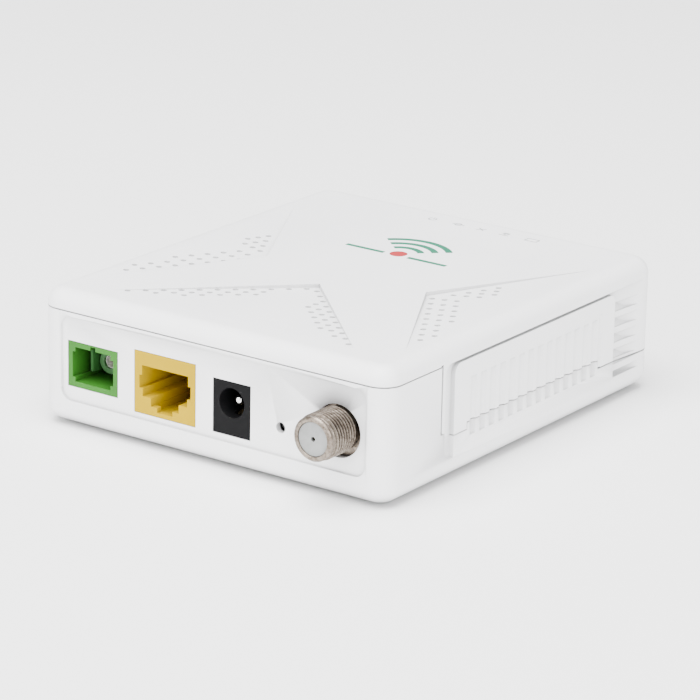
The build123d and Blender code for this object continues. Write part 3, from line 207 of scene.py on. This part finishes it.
ON_PARTING = 0.002 * MM
SAME_CORNER = 0.0002 * MM


def joined_nodes(sources, name, parting, angle=32.0):
    """One mesh of several touching nodes: the faces where two of them meet at the parting x are
    left out, equal corners are joined, curved faces are smooth and true corners sharp."""
    work = bmesh.new()
    for node in sources:
        work.from_mesh(nodes[node].data)
    inner = [face for face in work.faces
             if all(abs(v.co.x - parting) < ON_PARTING for v in face.verts)]
    bmesh.ops.delete(work, geom=inner, context="FACES_ONLY")
    bmesh.ops.remove_doubles(work, verts=work.verts, dist=SAME_CORNER)
    mesh = bpy.data.meshes.new(name)
    work.to_mesh(mesh)
    work.free()
    mesh.shade_smooth()
    mesh.set_sharp_from_angle(angle=math.radians(angle))
    piece = bpy.data.objects.new(name, mesh)
    bpy.context.scene.collection.objects.link(piece)
    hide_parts(*sources)
    return piece


# The white case gets strong painted shade in its recesses and gaps and near the floor.
case_white = moulded("case_white", (0.885, 0.885, 0.895), 0.42, grain=5200.0, depth=0.000012,
                     blotch=28.0, wear=0.05, soil=0.985, strength=0.2, round_off=0.00022, painted_shade=0.58,
                     reach=0.0034)
PANEL_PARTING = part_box("port_panel_right")[0].x
tray = joined_nodes(("bottom_case", "port_panel_left", "port_panel_right"), "base_tray",
                    PANEL_PARTING)
tray.data.materials.append(case_white)
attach(tray, "case")

# ---------------------------------------------------------------------------------------------
# Feet, sticker and case screws. Soft dark discs pressed into pockets, a blank paper sticker,
# and four zinc-plated screws driven up from below.

foot_rubber = moulded("foot_rubber", (0.045, 0.045, 0.048), 0.78, grain=2600.0, depth=0.00004,
                      blotch=160.0, wear=0.3, soil=0.7, strength=0.6)
finish_node("rubber_feet", foot_rubber)
label_paper = moulded("label_paper", (0.84, 0.84, 0.82), 0.6, grain=1500.0, depth=0.00003,
                      blotch=90.0, wear=0.1, soil=0.95, strength=0.35)
finish_node("rating_label", label_paper)


def build_metal_skin():
    """Tarnish from a stretched noise, a fine scratch height along Y, and pits at noise peaks."""
    entries = [("Place", "NodeSocketVector", None), ("Tarnish size", "NodeSocketFloat", 700.0)]
    results = [("Tarnish", "NodeSocketFloat"), ("Height", "NodeSocketFloat"),
               ("Pit", "NodeSocketFloat")]
    group, start, end = start_group("metal_skin", entries, results)
    cloud = put(group, "ShaderNodeTexNoise", {"Vector": start.outputs[0], "Scale": start.outputs[1],
                                              "Detail": 5.0, "Roughness": 0.65})
    along = put(group, "ShaderNodeMapping", {"Vector": start.outputs[0], "Scale": (1.0, 0.08, 1.0)})
    scratch = put(group, "ShaderNodeTexNoise", {"Vector": along.outputs[0], "Scale": 9000.0,
                                                "Detail": 2.0})
    pits = put(group, "ShaderNodeTexNoise", {"Vector": start.outputs[0], "Scale": 2600.0,
                                             "Detail": 2.0})
    group.links.new(stretch(group, cloud.outputs[0], 0.38, 0.62), end.inputs[0])
    group.links.new(scratch.outputs[0], end.inputs[1])
    group.links.new(stretch(group, pits.outputs[0], 0.60, 0.70), end.inputs[2])
    return group


metal_skin = build_metal_skin()


def metal(name, bright, dull, rough_low, rough_high, tarnish=700.0, strength=0.25, pit=0.4,
          wear=0.3, radius=0.0002):
    """Plated or bare metal: dull where the tarnish lies, bright on worn edges, dark in pits."""
    material, tree, shader, place = start_material(name)
    skin = use_group(tree, metal_skin, {"Place": place, "Tarnish size": tarnish})
    edge = use_group(tree, edge_wear, {"Place": place, "Radius": radius})
    body = blend_colour(tree, skin.outputs["Tarnish"], shade(bright, 1.0), shade(dull, 1.0))
    pitted = blend_colour(tree, spread(tree, skin.outputs["Pit"], 0.0, pit), body,
                          shade(dull, 0.35))
    rubbed = blend_colour(tree, spread(tree, edge.outputs["Edge"], 0.0, wear), pitted,
                          shade(tuple(min(1.0, channel * 1.25) for channel in bright), 1.0))
    tree.links.new(rubbed, shader.inputs["Base Color"])
    tree.links.new(spread(tree, skin.outputs["Tarnish"], rough_low, rough_high),
                   shader.inputs["Roughness"])
    shader.inputs["Metallic"].default_value = 1.0
    bump = put(tree, "ShaderNodeBump", {"Height": skin.outputs["Height"], "Strength": strength,
                                        "Distance": 0.00001})
    tree.links.new(bump.outputs[0], shader.inputs["Normal"])
    return material


screw_steel = metal("screw_steel", (0.60, 0.60, 0.58), (0.36, 0.36, 0.35), 0.24, 0.42)
finish_node("case_screws", screw_steel)

# ---------------------------------------------------------------------------------------------
# Circuit board. Glass laminate under green solder resist; copper tracks show through it as
# paler lines, and round pads are tinned. Three small screws hold it to the tray.


def board_finish():
    """Green resist with tracks where two banded waves peak, and tinned dots on a cell pattern."""
    material, tree, shader, place = start_material("board_green")
    skin = use_group(tree, moulded_skin, {"Place": place, "Grain": 3000.0, "Blotch size": 60.0})
    bands = []
    for turn, scale in ((0.0, 150.0), (math.pi / 2, 115.0)):
        turned_place = put(tree, "ShaderNodeMapping", {"Vector": place,
                                                       "Rotation": (0.0, 0.0, turn)})
        wave = put(tree, "ShaderNodeTexWave", {"Vector": turned_place.outputs[0], "Scale": scale,
                                               "Distortion": 2.5, "Detail": 0.0, "Detail Scale": 0.3})
        bands.append(stretch(tree, wave.outputs["Fac"], 0.78, 0.84))
    tracks = put(tree, "ShaderNodeMath", {0: bands[0], 1: bands[1]}, operation="MAXIMUM").outputs[0]
    cells = put(tree, "ShaderNodeTexVoronoi", {"Vector": place, "Scale": 260.0})
    pads = stretch(tree, cells.outputs["Distance"], 0.13, 0.10)
    resist = blend_colour(tree, skin.outputs["Blotch"], (0.012, 0.105, 0.045, 1),
                          (0.018, 0.135, 0.060, 1))
    tracked = blend_colour(tree, spread(tree, tracks, 0.0, 0.6), resist, (0.045, 0.24, 0.10, 1))
    tinned = blend_colour(tree, pads, tracked, (0.55, 0.55, 0.52, 1))
    tree.links.new(tinned, shader.inputs["Base Color"])
    tree.links.new(spread(tree, skin.outputs["Blotch"], 0.22, 0.32), shader.inputs["Roughness"])
    bump = put(tree, "ShaderNodeBump", {"Height": tracks, "Strength": 0.4, "Distance": 0.00003})
    tree.links.new(bump.outputs[0], shader.inputs["Normal"])
    return material


finish_node("main_board", board_finish())
finish_node("board_screws", screw_steel)

# ---------------------------------------------------------------------------------------------
# Fibre receptacle. Green moulded shell on a black cradle; inside it a darker insert carries the
# split ceramic sleeve, and two springy arms stand beside the sleeve to catch the plug.

# The green shell gets painted shade deep inside its mouth and recesses.
green_plastic = moulded("green_plastic", (0.031, 0.150, 0.016), 0.42, grain=3600.0, blotch=140.0,
                        wear=0.12, soil=0.86, sheen=0.15, painted_shade=0.6, reach=0.006)
dark_green = moulded("sleeve_holder_plastic", (0.020, 0.10, 0.018), 0.48, grain=3600.0, blotch=200.0,
                     wear=0.25, soil=0.8)
cradle_black = moulded("cradle_black", (0.022, 0.022, 0.024), 0.5, blotch=120.0, wear=0.2)
zirconia = moulded("white_ceramic", (0.78, 0.76, 0.70), 0.16, grain=9000.0, depth=0.000004,
                   blotch=300.0, wear=0.05, soil=0.95)
finish_node("sc_housing", green_plastic)
finish_node("sc_holder", dark_green)
finish_node("sc_hook_left", dark_green)
finish_node("sc_hook_right", dark_green)
finish_node("sc_cradle", cradle_black)
finish_node("sc_sleeve", zirconia)
finish_node("sc_ferrule", zirconia)

# ---------------------------------------------------------------------------------------------
# Internal fibre. A pale plug and soft boot behind the receptacle, a thin jacketed cord that
# turns in two wide bends through two clips, and the plated optical module that it enters.

pale_plastic = moulded("plug_plastic", (0.66, 0.67, 0.64), 0.45, blotch=150.0, wear=0.1)
boot_rubber = moulded("soft_boot", (0.06, 0.20, 0.07), 0.62, blotch=200.0, wear=0.1)
jacket = moulded("cord_jacket", (0.78, 0.76, 0.68), 0.38, grain=2500.0, blotch=220.0, wear=0.02,
                 soil=0.93)
finish_node("fibre_plug", pale_plastic)
finish_node("fibre_boot", boot_rubber)
finish_node("fibre_cord", jacket)
finish_node("cord_clips", pale_plastic)
module_metal = metal("module_metal", (0.74, 0.70, 0.60), (0.48, 0.43, 0.33), 0.2, 0.38)
finish_node("optical_module", module_metal)

# ---------------------------------------------------------------------------------------------
# Network socket. Yellow moulded shell with a stepped mouth; an amber insert behind it carries
# eight gold-plated spring wires that loop down from the comb and slope back into the mouth.

# The yellow shell gets painted shade in the hollows of its mouth.
yellow_plastic = moulded("yellow_plastic", (0.43, 0.283, 0.0), 0.42, grain=3600.0, blotch=120.0,
                         wear=0.04, soil=0.92, sheen=0.05, painted_shade=0.3, reach=0.004)
amber_plastic = moulded("amber_plastic", (0.22, 0.085, 0.004), 0.5, blotch=160.0, wear=0.15,
                        soil=0.8)
gold_plate = metal("gold_plate", (0.86, 0.64, 0.26), (0.62, 0.43, 0.16), 0.14, 0.3, pit=0.15)
finish_node("rj45_housing", yellow_plastic)
finish_node("rj45_carrier", amber_plastic)


def carried(points, wrap_path, name):
    """Mesh from a grid of points: one axis runs along the path, the other round a closed
    profile. The path either closes on itself or is capped at both ends."""
    along, around = points.shape[:2]
    rows = np.arange(along if wrap_path else along - 1)[:, None]
    columns = np.arange(around)[None, :]
    next_rows, next_columns = (rows + 1) % along, (columns + 1) % around
    first = (rows * around + columns).ravel()
    turn = (rows * around + next_columns).ravel()
    ahead = (next_rows * around + columns).ravel()
    both = (next_rows * around + next_columns).ravel()
    faces = np.stack([first, turn, both, ahead], axis=1).tolist()
    if not wrap_path:
        faces.append(list(range(around))[::-1])
        faces.append(list(range((along - 1) * around, along * around)))
    mesh = bpy.data.meshes.new(name)
    mesh.from_pydata(points.reshape(-1, 3), [], faces)
    mesh.update()
    return mesh


def gather(meshes, name, material, body, angle=35.0):
    """One object from several meshes, with outward normals, smooth faces and sharp corners."""
    work = bmesh.new()
    for mesh in meshes:
        work.from_mesh(mesh)
        bpy.data.meshes.remove(mesh)
    bmesh.ops.recalc_face_normals(work, faces=work.faces)
    whole = bpy.data.meshes.new(name)
    work.to_mesh(whole)
    work.free()
    whole.materials.append(material)
    whole.shade_smooth()
    whole.set_sharp_from_angle(angle=math.radians(angle))
    piece = bpy.data.objects.new(name, whole)
    bpy.context.scene.collection.objects.link(piece)
    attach(piece, body)
    return piece


WIRE_LOW, WIRE_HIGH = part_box("rj45_contacts")
WIRE_COUNT = 8
WIRE_WIDE = 0.44 * MM
WIRE_THICK = 0.26 * MM
WIRE_LOOP_RADIUS = 0.5 * MM
WIRE_BOW = 0.16 * MM


def spring_wire(x):
    """Flat wire in the plane of constant x: a short loop at the front, then a slope with a
    slight bow; its section is a rounded rectangle of wide by thick."""
    loop = np.linspace(math.radians(60), math.radians(215), 14)
    front_y, front_z = WIRE_LOW.y + 0.62 * MM, WIRE_HIGH.z - 0.72 * MM
    loop_y = front_y + WIRE_LOOP_RADIUS * np.cos(loop)
    loop_z = front_z + WIRE_LOOP_RADIUS * np.sin(loop)
    slope = np.linspace(0.08, 1.0, 16)
    end_y, end_z = WIRE_HIGH.y - 0.35 * MM, WIRE_LOW.z + 0.28 * MM
    slope_y = loop_y[-1] + (end_y - loop_y[-1]) * slope
    slope_z = loop_z[-1] + (end_z - loop_z[-1]) * slope + WIRE_BOW * np.sin(slope * math.pi)
    path = np.stack([np.concatenate([loop_y, slope_y]), np.concatenate([loop_z, slope_z])], axis=1)
    along = np.gradient(path, axis=0)
    along = along / np.linalg.norm(along, axis=1)[:, None]
    across = np.stack([-along[:, 1], along[:, 0]], axis=1)
    turn = np.linspace(0, 2 * math.pi, 12, endpoint=False)
    wide = WIRE_WIDE / 2 * np.sign(np.cos(turn)) * np.abs(np.cos(turn)) ** 0.5
    thick = WIRE_THICK / 2 * np.sign(np.sin(turn)) * np.abs(np.sin(turn)) ** 0.5
    xs = np.broadcast_to(x + wide[None, :], (len(path), len(turn)))
    ys = path[:, :1] + across[:, :1] * thick[None, :]
    zs = path[:, 1:] + across[:, 1:] * thick[None, :]
    return carried(np.stack([xs, ys, zs], axis=2), False, "wire")


wire_middle = (WIRE_LOW.x + WIRE_HIGH.x) / 2
wire_pitch = (WIRE_HIGH.x - WIRE_LOW.x - WIRE_WIDE) / (WIRE_COUNT - 1)
wires = [spring_wire(wire_middle + (index - (WIRE_COUNT - 1) / 2) * wire_pitch)
         for index in range(WIRE_COUNT)]
spring_wires = gather(wires, "network_spring_wires", gold_plate, "network_springs")
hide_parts("rj45_contacts")

# ---------------------------------------------------------------------------------------------
# Power socket. Charcoal block with a round bore, a bright centre pin, a sprung bronze leaf in
# its floor and three tinned legs.

charcoal = moulded("black_plastic", (0.0055, 0.0055, 0.006), 0.45, grain=3200.0, blotch=130.0,
                   wear=0.12, soil=0.8, sheen=0.05)
bright_pin = metal("bright_pin", (0.86, 0.86, 0.84), (0.70, 0.70, 0.68), 0.08, 0.16, pit=0.1)
spring_bronze = metal("spring_bronze", (0.72, 0.58, 0.36), (0.50, 0.38, 0.20), 0.2, 0.36)
tinned_steel = metal("tinned_steel", (0.68, 0.68, 0.66), (0.50, 0.50, 0.49), 0.25, 0.4)
finish_node("dc_housing", charcoal)
finish_node("dc_pin", bright_pin)
finish_node("dc_leaf", spring_bronze)
finish_node("dc_terminals", tinned_steel)

# ---------------------------------------------------------------------------------------------
# Reset switch. A small black switch behind the pinhole with a pale stem that presses in.

finish_node("reset_switch", cradle_black)
finish_node("reset_stem", pale_plastic)

# ---------------------------------------------------------------------------------------------
# Coaxial connector. Nickel-plated brass turned from bar, with a rolled helical thread, worn and
# speckled; a pale plug fills its mouth round the clip that takes the centre wire.

COAX_LOW, COAX_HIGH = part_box("f_shell")
PLUG_LOW, PLUG_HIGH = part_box("f_insulator")
coax_x = (PLUG_LOW.x + PLUG_HIGH.x) / 2
coax_z = (PLUG_LOW.z + PLUG_HIGH.z) / 2
coax_tip = COAX_LOW.y
BLOCK_DEPTH = 9.9 * MM
block_front = COAX_HIGH.y - BLOCK_DEPTH
CREST = 4.72 * MM
ROOT = 4.22 * MM
PITCH = 0.794 * MM
RING = 4.5 * MM
BORE = 3.4 * MM
THREAD_START = 1.5 * MM
THREAD_END_GAP = 1.15 * MM
THREAD_EASE = 0.7 * PITCH
THREAD_STEPS = 150
LEAD_STEPS = 2
BLOCK_CORNER = 0.5 * MM
LEG_RADIUS = 0.6 * MM
LEG_OVERLAP = 0.5 * MM


def nickel_finish():
    """Warm nickel with painted shade low in the thread, brassy rubbed crests that are partly worn
    plating and partly a painted highlight, and fine speckle.
    """
    material, tree, shader, place = start_material("nickel")
    skin = use_group(tree, metal_skin, {"Place": place, "Tarnish size": 520.0})
    edge = use_group(tree, edge_wear, {"Place": place, "Radius": 0.00018})
    speck = put(tree, "ShaderNodeTexNoise", {"Vector": place, "Scale": 1900.0, "Detail": 4.0,
                                             "Roughness": 0.7})
    shade_mask = use_group(tree, recess_shade, {"Reach": 0.0007})
    body = blend_colour(tree, skin.outputs["Tarnish"], (0.27, 0.23, 0.19, 1),
                        (0.16, 0.13, 0.105, 1))
    speckled = blend_colour(tree, stretch(tree, speck.outputs[0], 0.50, 0.66, 0.0, 0.7), body,
                            (0.075, 0.055, 0.040, 1))
    # Crests and edges are lightened: partly worn plating, partly a painted highlight on the thread.
    rubbed = blend_colour(tree, spread(tree, edge.outputs["Edge"], 0.0, 0.6), speckled,
                          (0.34, 0.32, 0.29, 1))
    # Painted shade: the thread roots and other narrow hollows are darkened almost to black.
    shaded_in_recesses = blend_colour(tree, stretch(tree, shade_mask.outputs["Depth"], 0.05, 0.8, 0.0, 0.92), rubbed,
                         (0.012, 0.009, 0.007, 1))
    tree.links.new(shaded_in_recesses, shader.inputs["Base Color"])
    tree.links.new(stretch(tree, speck.outputs[0], 0.35, 0.65, 0.24, 0.52), shader.inputs["Roughness"])
    shader.inputs["Metallic"].default_value = 1.0
    bump = put(tree, "ShaderNodeBump", {"Height": speck.outputs[0], "Strength": 0.5,
                                        "Distance": 0.00003})
    tree.links.new(bump.outputs[0], shader.inputs["Normal"])
    return material


nickel = nickel_finish()


def threaded_barrel():
    """Closed profile of radius and reach spun about the barrel's axis. Over the thread the
    radius is the root plus a rounded triangle wave of reach minus angle, so it winds round."""
    length = block_front - coax_tip
    thread_end = length - THREAD_END_GAP
    reach = np.concatenate([[-0.3 * MM, 0.1 * MM], np.linspace(THREAD_START, thread_end, THREAD_STEPS),
                            [length - 1.05 * MM, length - 0.95 * MM, length - 0.42 * MM,
                             length - 0.34 * MM, length - 0.04 * MM, length, length,
                             length - 0.12 * MM, length - 0.5 * MM, length - 2.5 * MM, -0.3 * MM]])
    plain = np.concatenate([np.full(LEAD_STEPS + THREAD_STEPS, ROOT),
                            [ROOT, RING - 0.05 * MM, RING, RING - 0.03 * MM, RING - 0.36 * MM,
                             RING - 0.42 * MM, BORE + 0.12 * MM, BORE + 0.02 * MM, BORE, BORE, BORE]])
    angle = np.linspace(0, 2 * math.pi, 96, endpoint=False)
    phase = reach[None, :] / PITCH - angle[:, None] / (2 * math.pi)
    wave = 1 - np.abs(2 * (phase % 1.0) - 1)
    tooth = np.clip(wave * 1.45 - 0.2, 0, 1)
    rise = np.clip((reach - THREAD_START) / THREAD_EASE, 0, 1)
    fall = np.clip((thread_end - reach) / THREAD_EASE, 0, 1)
    ease = rise * fall
    ease[:LEAD_STEPS] = 0
    ease[LEAD_STEPS + THREAD_STEPS:] = 0
    radius = plain[None, :] + (CREST - ROOT) * tooth * ease[None, :]
    xs = coax_x + radius * np.cos(angle)[:, None]
    zs = coax_z + radius * np.sin(angle)[:, None]
    ys = np.broadcast_to(block_front - reach[None, :], radius.shape)
    return carried(np.stack([xs, ys, zs], axis=2), True, "barrel")


def soft_block(low, high, corner, power=0.28):
    """Box between two corners as a stack of rounded rectangles that shrink at both ends."""
    turn = np.linspace(0, 2 * math.pi, 40, endpoint=False)
    half_x, half_z = (high[0] - low[0]) / 2, (high[2] - low[2]) / 2
    unit_x = np.sign(np.cos(turn)) * np.abs(np.cos(turn)) ** power
    unit_z = np.sign(np.sin(turn)) * np.abs(np.sin(turn)) ** power
    ease = np.linspace(0, math.pi / 2, 5)
    inset = np.concatenate([corner * (1 - np.sin(ease)), corner * (1 - np.cos(ease))])
    place = np.concatenate([low[1] + corner * (1 - np.cos(ease)),
                            high[1] - corner * (1 - np.sin(ease))])
    xs = (low[0] + high[0]) / 2 + (half_x - inset)[:, None] * unit_x[None, :]
    zs = (low[2] + high[2]) / 2 + (half_z - inset)[:, None] * unit_z[None, :]
    ys = np.broadcast_to(place[:, None], xs.shape)
    return carried(np.stack([xs, ys, zs], axis=2), False, "block")


def round_leg(x, y, radius, low, high):
    """Upright round pin with a rounded lower end: circles whose radius eases to a point."""
    turn = np.linspace(0, 2 * math.pi, 16, endpoint=False)
    ease = np.linspace(0.15, math.pi / 2, 5)
    radii = np.concatenate([radius * np.sin(ease), [radius]])
    heights = np.concatenate([low + radius * (1 - np.cos(ease)) * 0.9, [high]])
    xs = x + radii[:, None] * np.cos(turn)[None, :]
    ys = y + radii[:, None] * np.sin(turn)[None, :]
    zs = np.broadcast_to(heights[:, None], xs.shape)
    return carried(np.stack([xs, ys, zs], axis=2), False, "leg")


block_low = (COAX_LOW.x, block_front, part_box("main_board")[1].z)
block_high = (COAX_HIGH.x, COAX_HIGH.y, COAX_HIGH.z)
legs = [round_leg(coax_x + dx * MM, COAX_HIGH.y - dy * MM, LEG_RADIUS, COAX_LOW.z,
                  block_low[2] + LEG_OVERLAP)
        for dx in (-4.6, 4.6) for dy in (1.4, 8.6)]
coax = gather([threaded_barrel(), soft_block(block_low, block_high, BLOCK_CORNER)] + legs,
              "coaxial_connector", nickel, "case", angle=40.0)
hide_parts("f_shell")
insulator_white = moulded("pale_insulator", (0.26, 0.265, 0.26), 0.42, grain=3000.0, blotch=500.0,
                          wear=0.1, soil=0.8)
finish_node("f_insulator", insulator_white)
finish_node("f_contact", gold_plate)

# ---------------------------------------------------------------------------------------------
# Parts soldered to the board. Black moulded chips, a pressed shield, a finned aluminium sink on
# a soft pad, drawn cans, fired chips and a gold service header.

chip_black = moulded("chip_black", (0.022, 0.022, 0.024), 0.55, grain=5000.0, blotch=220.0, wear=0.1)
for part in ("soc_chip", "memory_chip", "flash_chip", "network_transformer", "power_inductors"):
    finish_node(part, chip_black)
finish_node("shield_can", tinned_steel)
finish_node("thermal_pad", moulded("pad_grey", (0.30, 0.36, 0.44), 0.7, blotch=240.0))
sink_aluminium = metal("sink_aluminium", (0.78, 0.79, 0.80), (0.60, 0.61, 0.62), 0.3, 0.45, pit=0.1)
finish_node("heatsink", sink_aluminium)
can_aluminium = metal("can_aluminium", (0.80, 0.80, 0.81), (0.64, 0.64, 0.65), 0.2, 0.3, pit=0.05)
finish_node("can_capacitors", can_aluminium)
finish_node("chip_capacitors", moulded("chip_tan", (0.34, 0.22, 0.12), 0.35, blotch=400.0))
finish_node("crystal", tinned_steel)
finish_node("service_header", gold_plate)

# ---------------------------------------------------------------------------------------------
# Status lamps. Five cast-resin lamps on the board and one clear acrylic guide under the lid
# that leads their light to thin spots in it.

finish_node("status_lamps", moulded("lamp_body", (0.78, 0.76, 0.60), 0.2, blotch=500.0))


def clear_finish():
    """Clear acrylic with a faint tint that drifts and a lightly rippled surface."""
    material, tree, shader, place = start_material("guide_clear")
    skin = use_group(tree, moulded_skin, {"Place": place, "Grain": 900.0, "Blotch size": 80.0})
    tint = blend_colour(tree, skin.outputs["Blotch"], (0.86, 0.90, 0.90, 1),
                        (0.93, 0.95, 0.95, 1))
    tree.links.new(tint, shader.inputs["Base Color"])
    tree.links.new(spread(tree, skin.outputs["Blotch"], 0.04, 0.10), shader.inputs["Roughness"])
    shader.inputs["Transmission Weight"].default_value = 0.9
    shader.inputs["IOR"].default_value = 1.49
    bump = put(tree, "ShaderNodeBump", {"Height": skin.outputs["Height"], "Strength": 0.1,
                                        "Distance": 0.00002})
    tree.links.new(bump.outputs[0], shader.inputs["Normal"])
    return material


finish_node("light_guide", clear_finish())

# ---------------------------------------------------------------------------------------------
# Lid. The same white plastic, with three sunk dimpled facets, hollowed side pads and louvres; a
# sign of signal arcs over a round dot and five small grey lamp signs are printed on its top.

finish_node("top_cover", case_white)
LID_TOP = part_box("top_cover")[1].z
CASE_MIDDLE_Y = (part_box("top_cover")[0].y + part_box("top_cover")[1].y) / 2
INK = 0.012 * MM
SIGN_X = 0.4
ARC_Y, DOT_Y, FOOT_Y = 15.6, 15.4, 14.4
ARC_LINE, FOOT_LINE, LAMP_LINE = 1.5, 1.2, 0.32
LAMP_SIGN_Y = 41.5


def ink_finish(name, colour):
    """Screen-printed ink: thin colour with tiny pinholes and a soft sheen."""
    material, tree, shader, place = start_material(name)
    speck = put(tree, "ShaderNodeTexNoise", {"Vector": place, "Scale": 3500.0, "Detail": 3.0})
    tone = blend_colour(tree, stretch(tree, speck.outputs[0], 0.35, 0.65), shade(colour, 0.88),
                        shade(colour, 1.06))
    tree.links.new(tone, shader.inputs["Base Color"])
    tree.links.new(stretch(tree, speck.outputs[0], 0.3, 0.7, 0.38, 0.52), shader.inputs["Roughness"])
    bump = put(tree, "ShaderNodeBump", {"Height": speck.outputs[0], "Strength": 0.15,
                                        "Distance": 0.00001})
    tree.links.new(bump.outputs[0], shader.inputs["Normal"])
    return material


def inked(path, width, close=False):
    """Flat line of the given width along a plan path, as a plate one ink layer thick: the path
    is offset to both sides along its normal, below and above the surface of the lid."""
    path = np.asarray(path, float) * MM
    if close:
        along = np.roll(path, -1, axis=0) - np.roll(path, 1, axis=0)
    else:
        along = np.gradient(path, axis=0)
    along = along / np.linalg.norm(along, axis=1)[:, None]
    across = np.stack([-along[:, 1], along[:, 0]], axis=1) * width * MM / 2
    low, high = LID_TOP - INK, LID_TOP + INK
    corners = []
    for side, height in ((-1, low), (1, low), (1, high), (-1, high)):
        flat = path + side * across
        corners.append(np.column_stack([flat[:, 0], flat[:, 1] + CASE_MIDDLE_Y,
                                        np.full(len(flat), height)]))
    return carried(np.stack(corners, axis=1), close, "ink")


def arc(x, y, radius, start, end, count=28):
    """Plan points on a circle from one angle to another, in degrees."""
    angle = np.radians(np.linspace(start, end, count))
    return np.column_stack([x + radius * np.cos(angle), y + radius * np.sin(angle)])


def ring(x, y, radius, count=28):
    """Plan points right round a circle, with the end left open for closing."""
    return arc(x, y, radius, 0, 360 - 360 / count, count)


def lamp_stroke(points, width=LAMP_LINE):
    """Straight stroke of a lamp sign: x, and the distance behind the middle of the row."""
    return inked([(x, LAMP_SIGN_Y + behind) for x, behind in points], width)


sign_arcs = [inked(arc(SIGN_X, ARC_Y, radius, 42, 138), ARC_LINE) for radius in (4.6, 7.6, 10.6)]
sign_foot = [inked([(x, FOOT_Y) for x in line], FOOT_LINE)
             for line in ((-12.2, -6.0, -2.6), (3.4, 7.0, 13.0))]
gather(sign_arcs + sign_foot, "signal_sign", ink_finish("ink_green", (0.006, 0.15, 0.085)),
       "case")
gather([inked(ring(SIGN_X, DOT_Y, 0.95), 1.9, True)], "signal_dot",
       ink_finish("ink_red", (0.38, 0.018, 0.022)), "case")
signs = [inked(arc(-8.8, LAMP_SIGN_Y, 0.85, 120, 420), LAMP_LINE),
         lamp_stroke([(-8.8, 0.2), (-8.8, 1.1)]),
         lamp_stroke([(-3.6, 0.0), (-2.1, 0.0), (-0.6, 0.0)]),
         inked(ring(-2.1, LAMP_SIGN_Y, 0.7), LAMP_LINE, True),
         lamp_stroke([(2.9, -0.7), (4.7, 0.7)]),
         lamp_stroke([(2.9, 0.7), (4.7, -0.7)]),
         lamp_stroke([(8.6, -0.6), (11.0, -0.6)]),
         lamp_stroke([(9.8, -0.6), (9.8, 0.3)]),
         lamp_stroke([(9.0, 0.7), (10.6, 0.7)], 0.9),
         lamp_stroke([(15.3, -0.8), (15.3, 0.8)]),
         lamp_stroke([(18.1, -0.8), (18.1, 0.8)]),
         lamp_stroke([(15.3, -0.8), (18.1, -0.8)]),
         lamp_stroke([(15.3, 0.8), (18.1, 0.8)])]
gather(signs, "lamp_signs", ink_finish("ink_grey", (0.40, 0.41, 0.42)), "case")

# ---------------------------------------------------------------------------------------------
# Studio. A pale matt floor, three wide soft lights, and a long lens from the front right.


def flat_sheet(half, height, steps, name):
    """Level square grid of the given half side."""
    line = np.linspace(-half, half, steps)
    xs, ys = np.meshgrid(line, line, indexing="ij")
    points = np.stack([xs, ys, np.full(xs.shape, height)], axis=2).reshape(-1, 3)
    first = (np.arange(steps - 1)[:, None] * steps + np.arange(steps - 1)[None, :]).ravel()
    faces = np.stack([first, first + steps, first + steps + 1, first + 1], axis=1).tolist()
    mesh = bpy.data.meshes.new(name)
    mesh.from_pydata(points, [], faces)
    mesh.update()
    return mesh


def floor_finish():
    """Pale matt paper with a faint slow drift in tone."""
    material, tree, shader, place = start_material("studio_floor")
    slow = put(tree, "ShaderNodeTexNoise", {"Vector": place, "Scale": 3.0, "Detail": 2.0})
    tone = blend_colour(tree, slow.outputs[0], (0.90, 0.90, 0.90, 1), (0.93, 0.93, 0.93, 1))
    tree.links.new(tone, shader.inputs["Base Color"])
    shader.inputs["Roughness"].default_value = 0.9
    return material


floor = bpy.data.objects.new("studio_floor", flat_sheet(6.0, 0.0, 12, "studio_floor"))
floor.data.materials.append(floor_finish())
bpy.context.scene.collection.objects.link(floor)


def soft_light(name, place, aim, size, power):
    """Square area light at a place, turned to face its aim."""
    lamp = bpy.data.lights.new(name, "AREA")
    lamp.shape = "SQUARE"
    lamp.size = size
    lamp.energy = power
    holder = bpy.data.objects.new(name, lamp)
    holder.location = place
    holder.rotation_mode = "QUATERNION"
    holder.rotation_quaternion = (Vector(aim) - Vector(place)).to_track_quat("-Z", "Y")
    bpy.context.scene.collection.objects.link(holder)


soft_light("light_above", (0.0, -0.25, 1.15), (0, 0, 0), 1.1, 52.0)
soft_light("light_front", (-0.45, -1.15, 0.50), (0, 0, 0.015), 1.2, 18.0)
soft_light("light_side", (1.05, -0.65, 0.50), (0, 0, 0.015), 1.0, 22.0)
AIR_STRENGTH = 0.72
world = bpy.data.worlds.new("studio_air")
world.use_nodes = True
air = world.node_tree.nodes["Background"]
air.inputs["Color"].default_value = (1.0, 1.0, 1.0, 1.0)
air.inputs["Strength"].default_value = AIR_STRENGTH
bpy.context.scene.world = world

AZIMUTH = math.radians(35.229)
ELEVATION = math.radians(18.323)
ROLL = math.radians(1.191)
DISTANCE = 730.97 * MM
CASE_Y, CASE_Z = 3.8, 0.8
AIM = Vector((2.376, -4.221 + CASE_Y, 12.333 + CASE_Z)) * MM
LENS = 183.0
back = Vector((math.sin(AZIMUTH) * math.cos(ELEVATION), -math.cos(AZIMUTH) * math.cos(ELEVATION),
               math.sin(ELEVATION)))
right = (-back).cross(Vector((0, 0, 1))).normalized()
up = right.cross(-back)
right, up = (right * math.cos(ROLL) + up * math.sin(ROLL),
             up * math.cos(ROLL) - right * math.sin(ROLL))
camera_data = bpy.data.cameras.new("studio_camera")
camera_data.sensor_width = 36.0
camera_data.lens = LENS
camera_data.clip_start = 0.05
camera_data.clip_end = 30.0
camera = bpy.data.objects.new("studio_camera", camera_data)
turned = Matrix((right, up, back)).transposed().to_4x4()
camera.matrix_world = Matrix.Translation(AIM + back * DISTANCE) @ turned
bpy.context.scene.collection.objects.link(camera)
bpy.context.scene.camera = camera
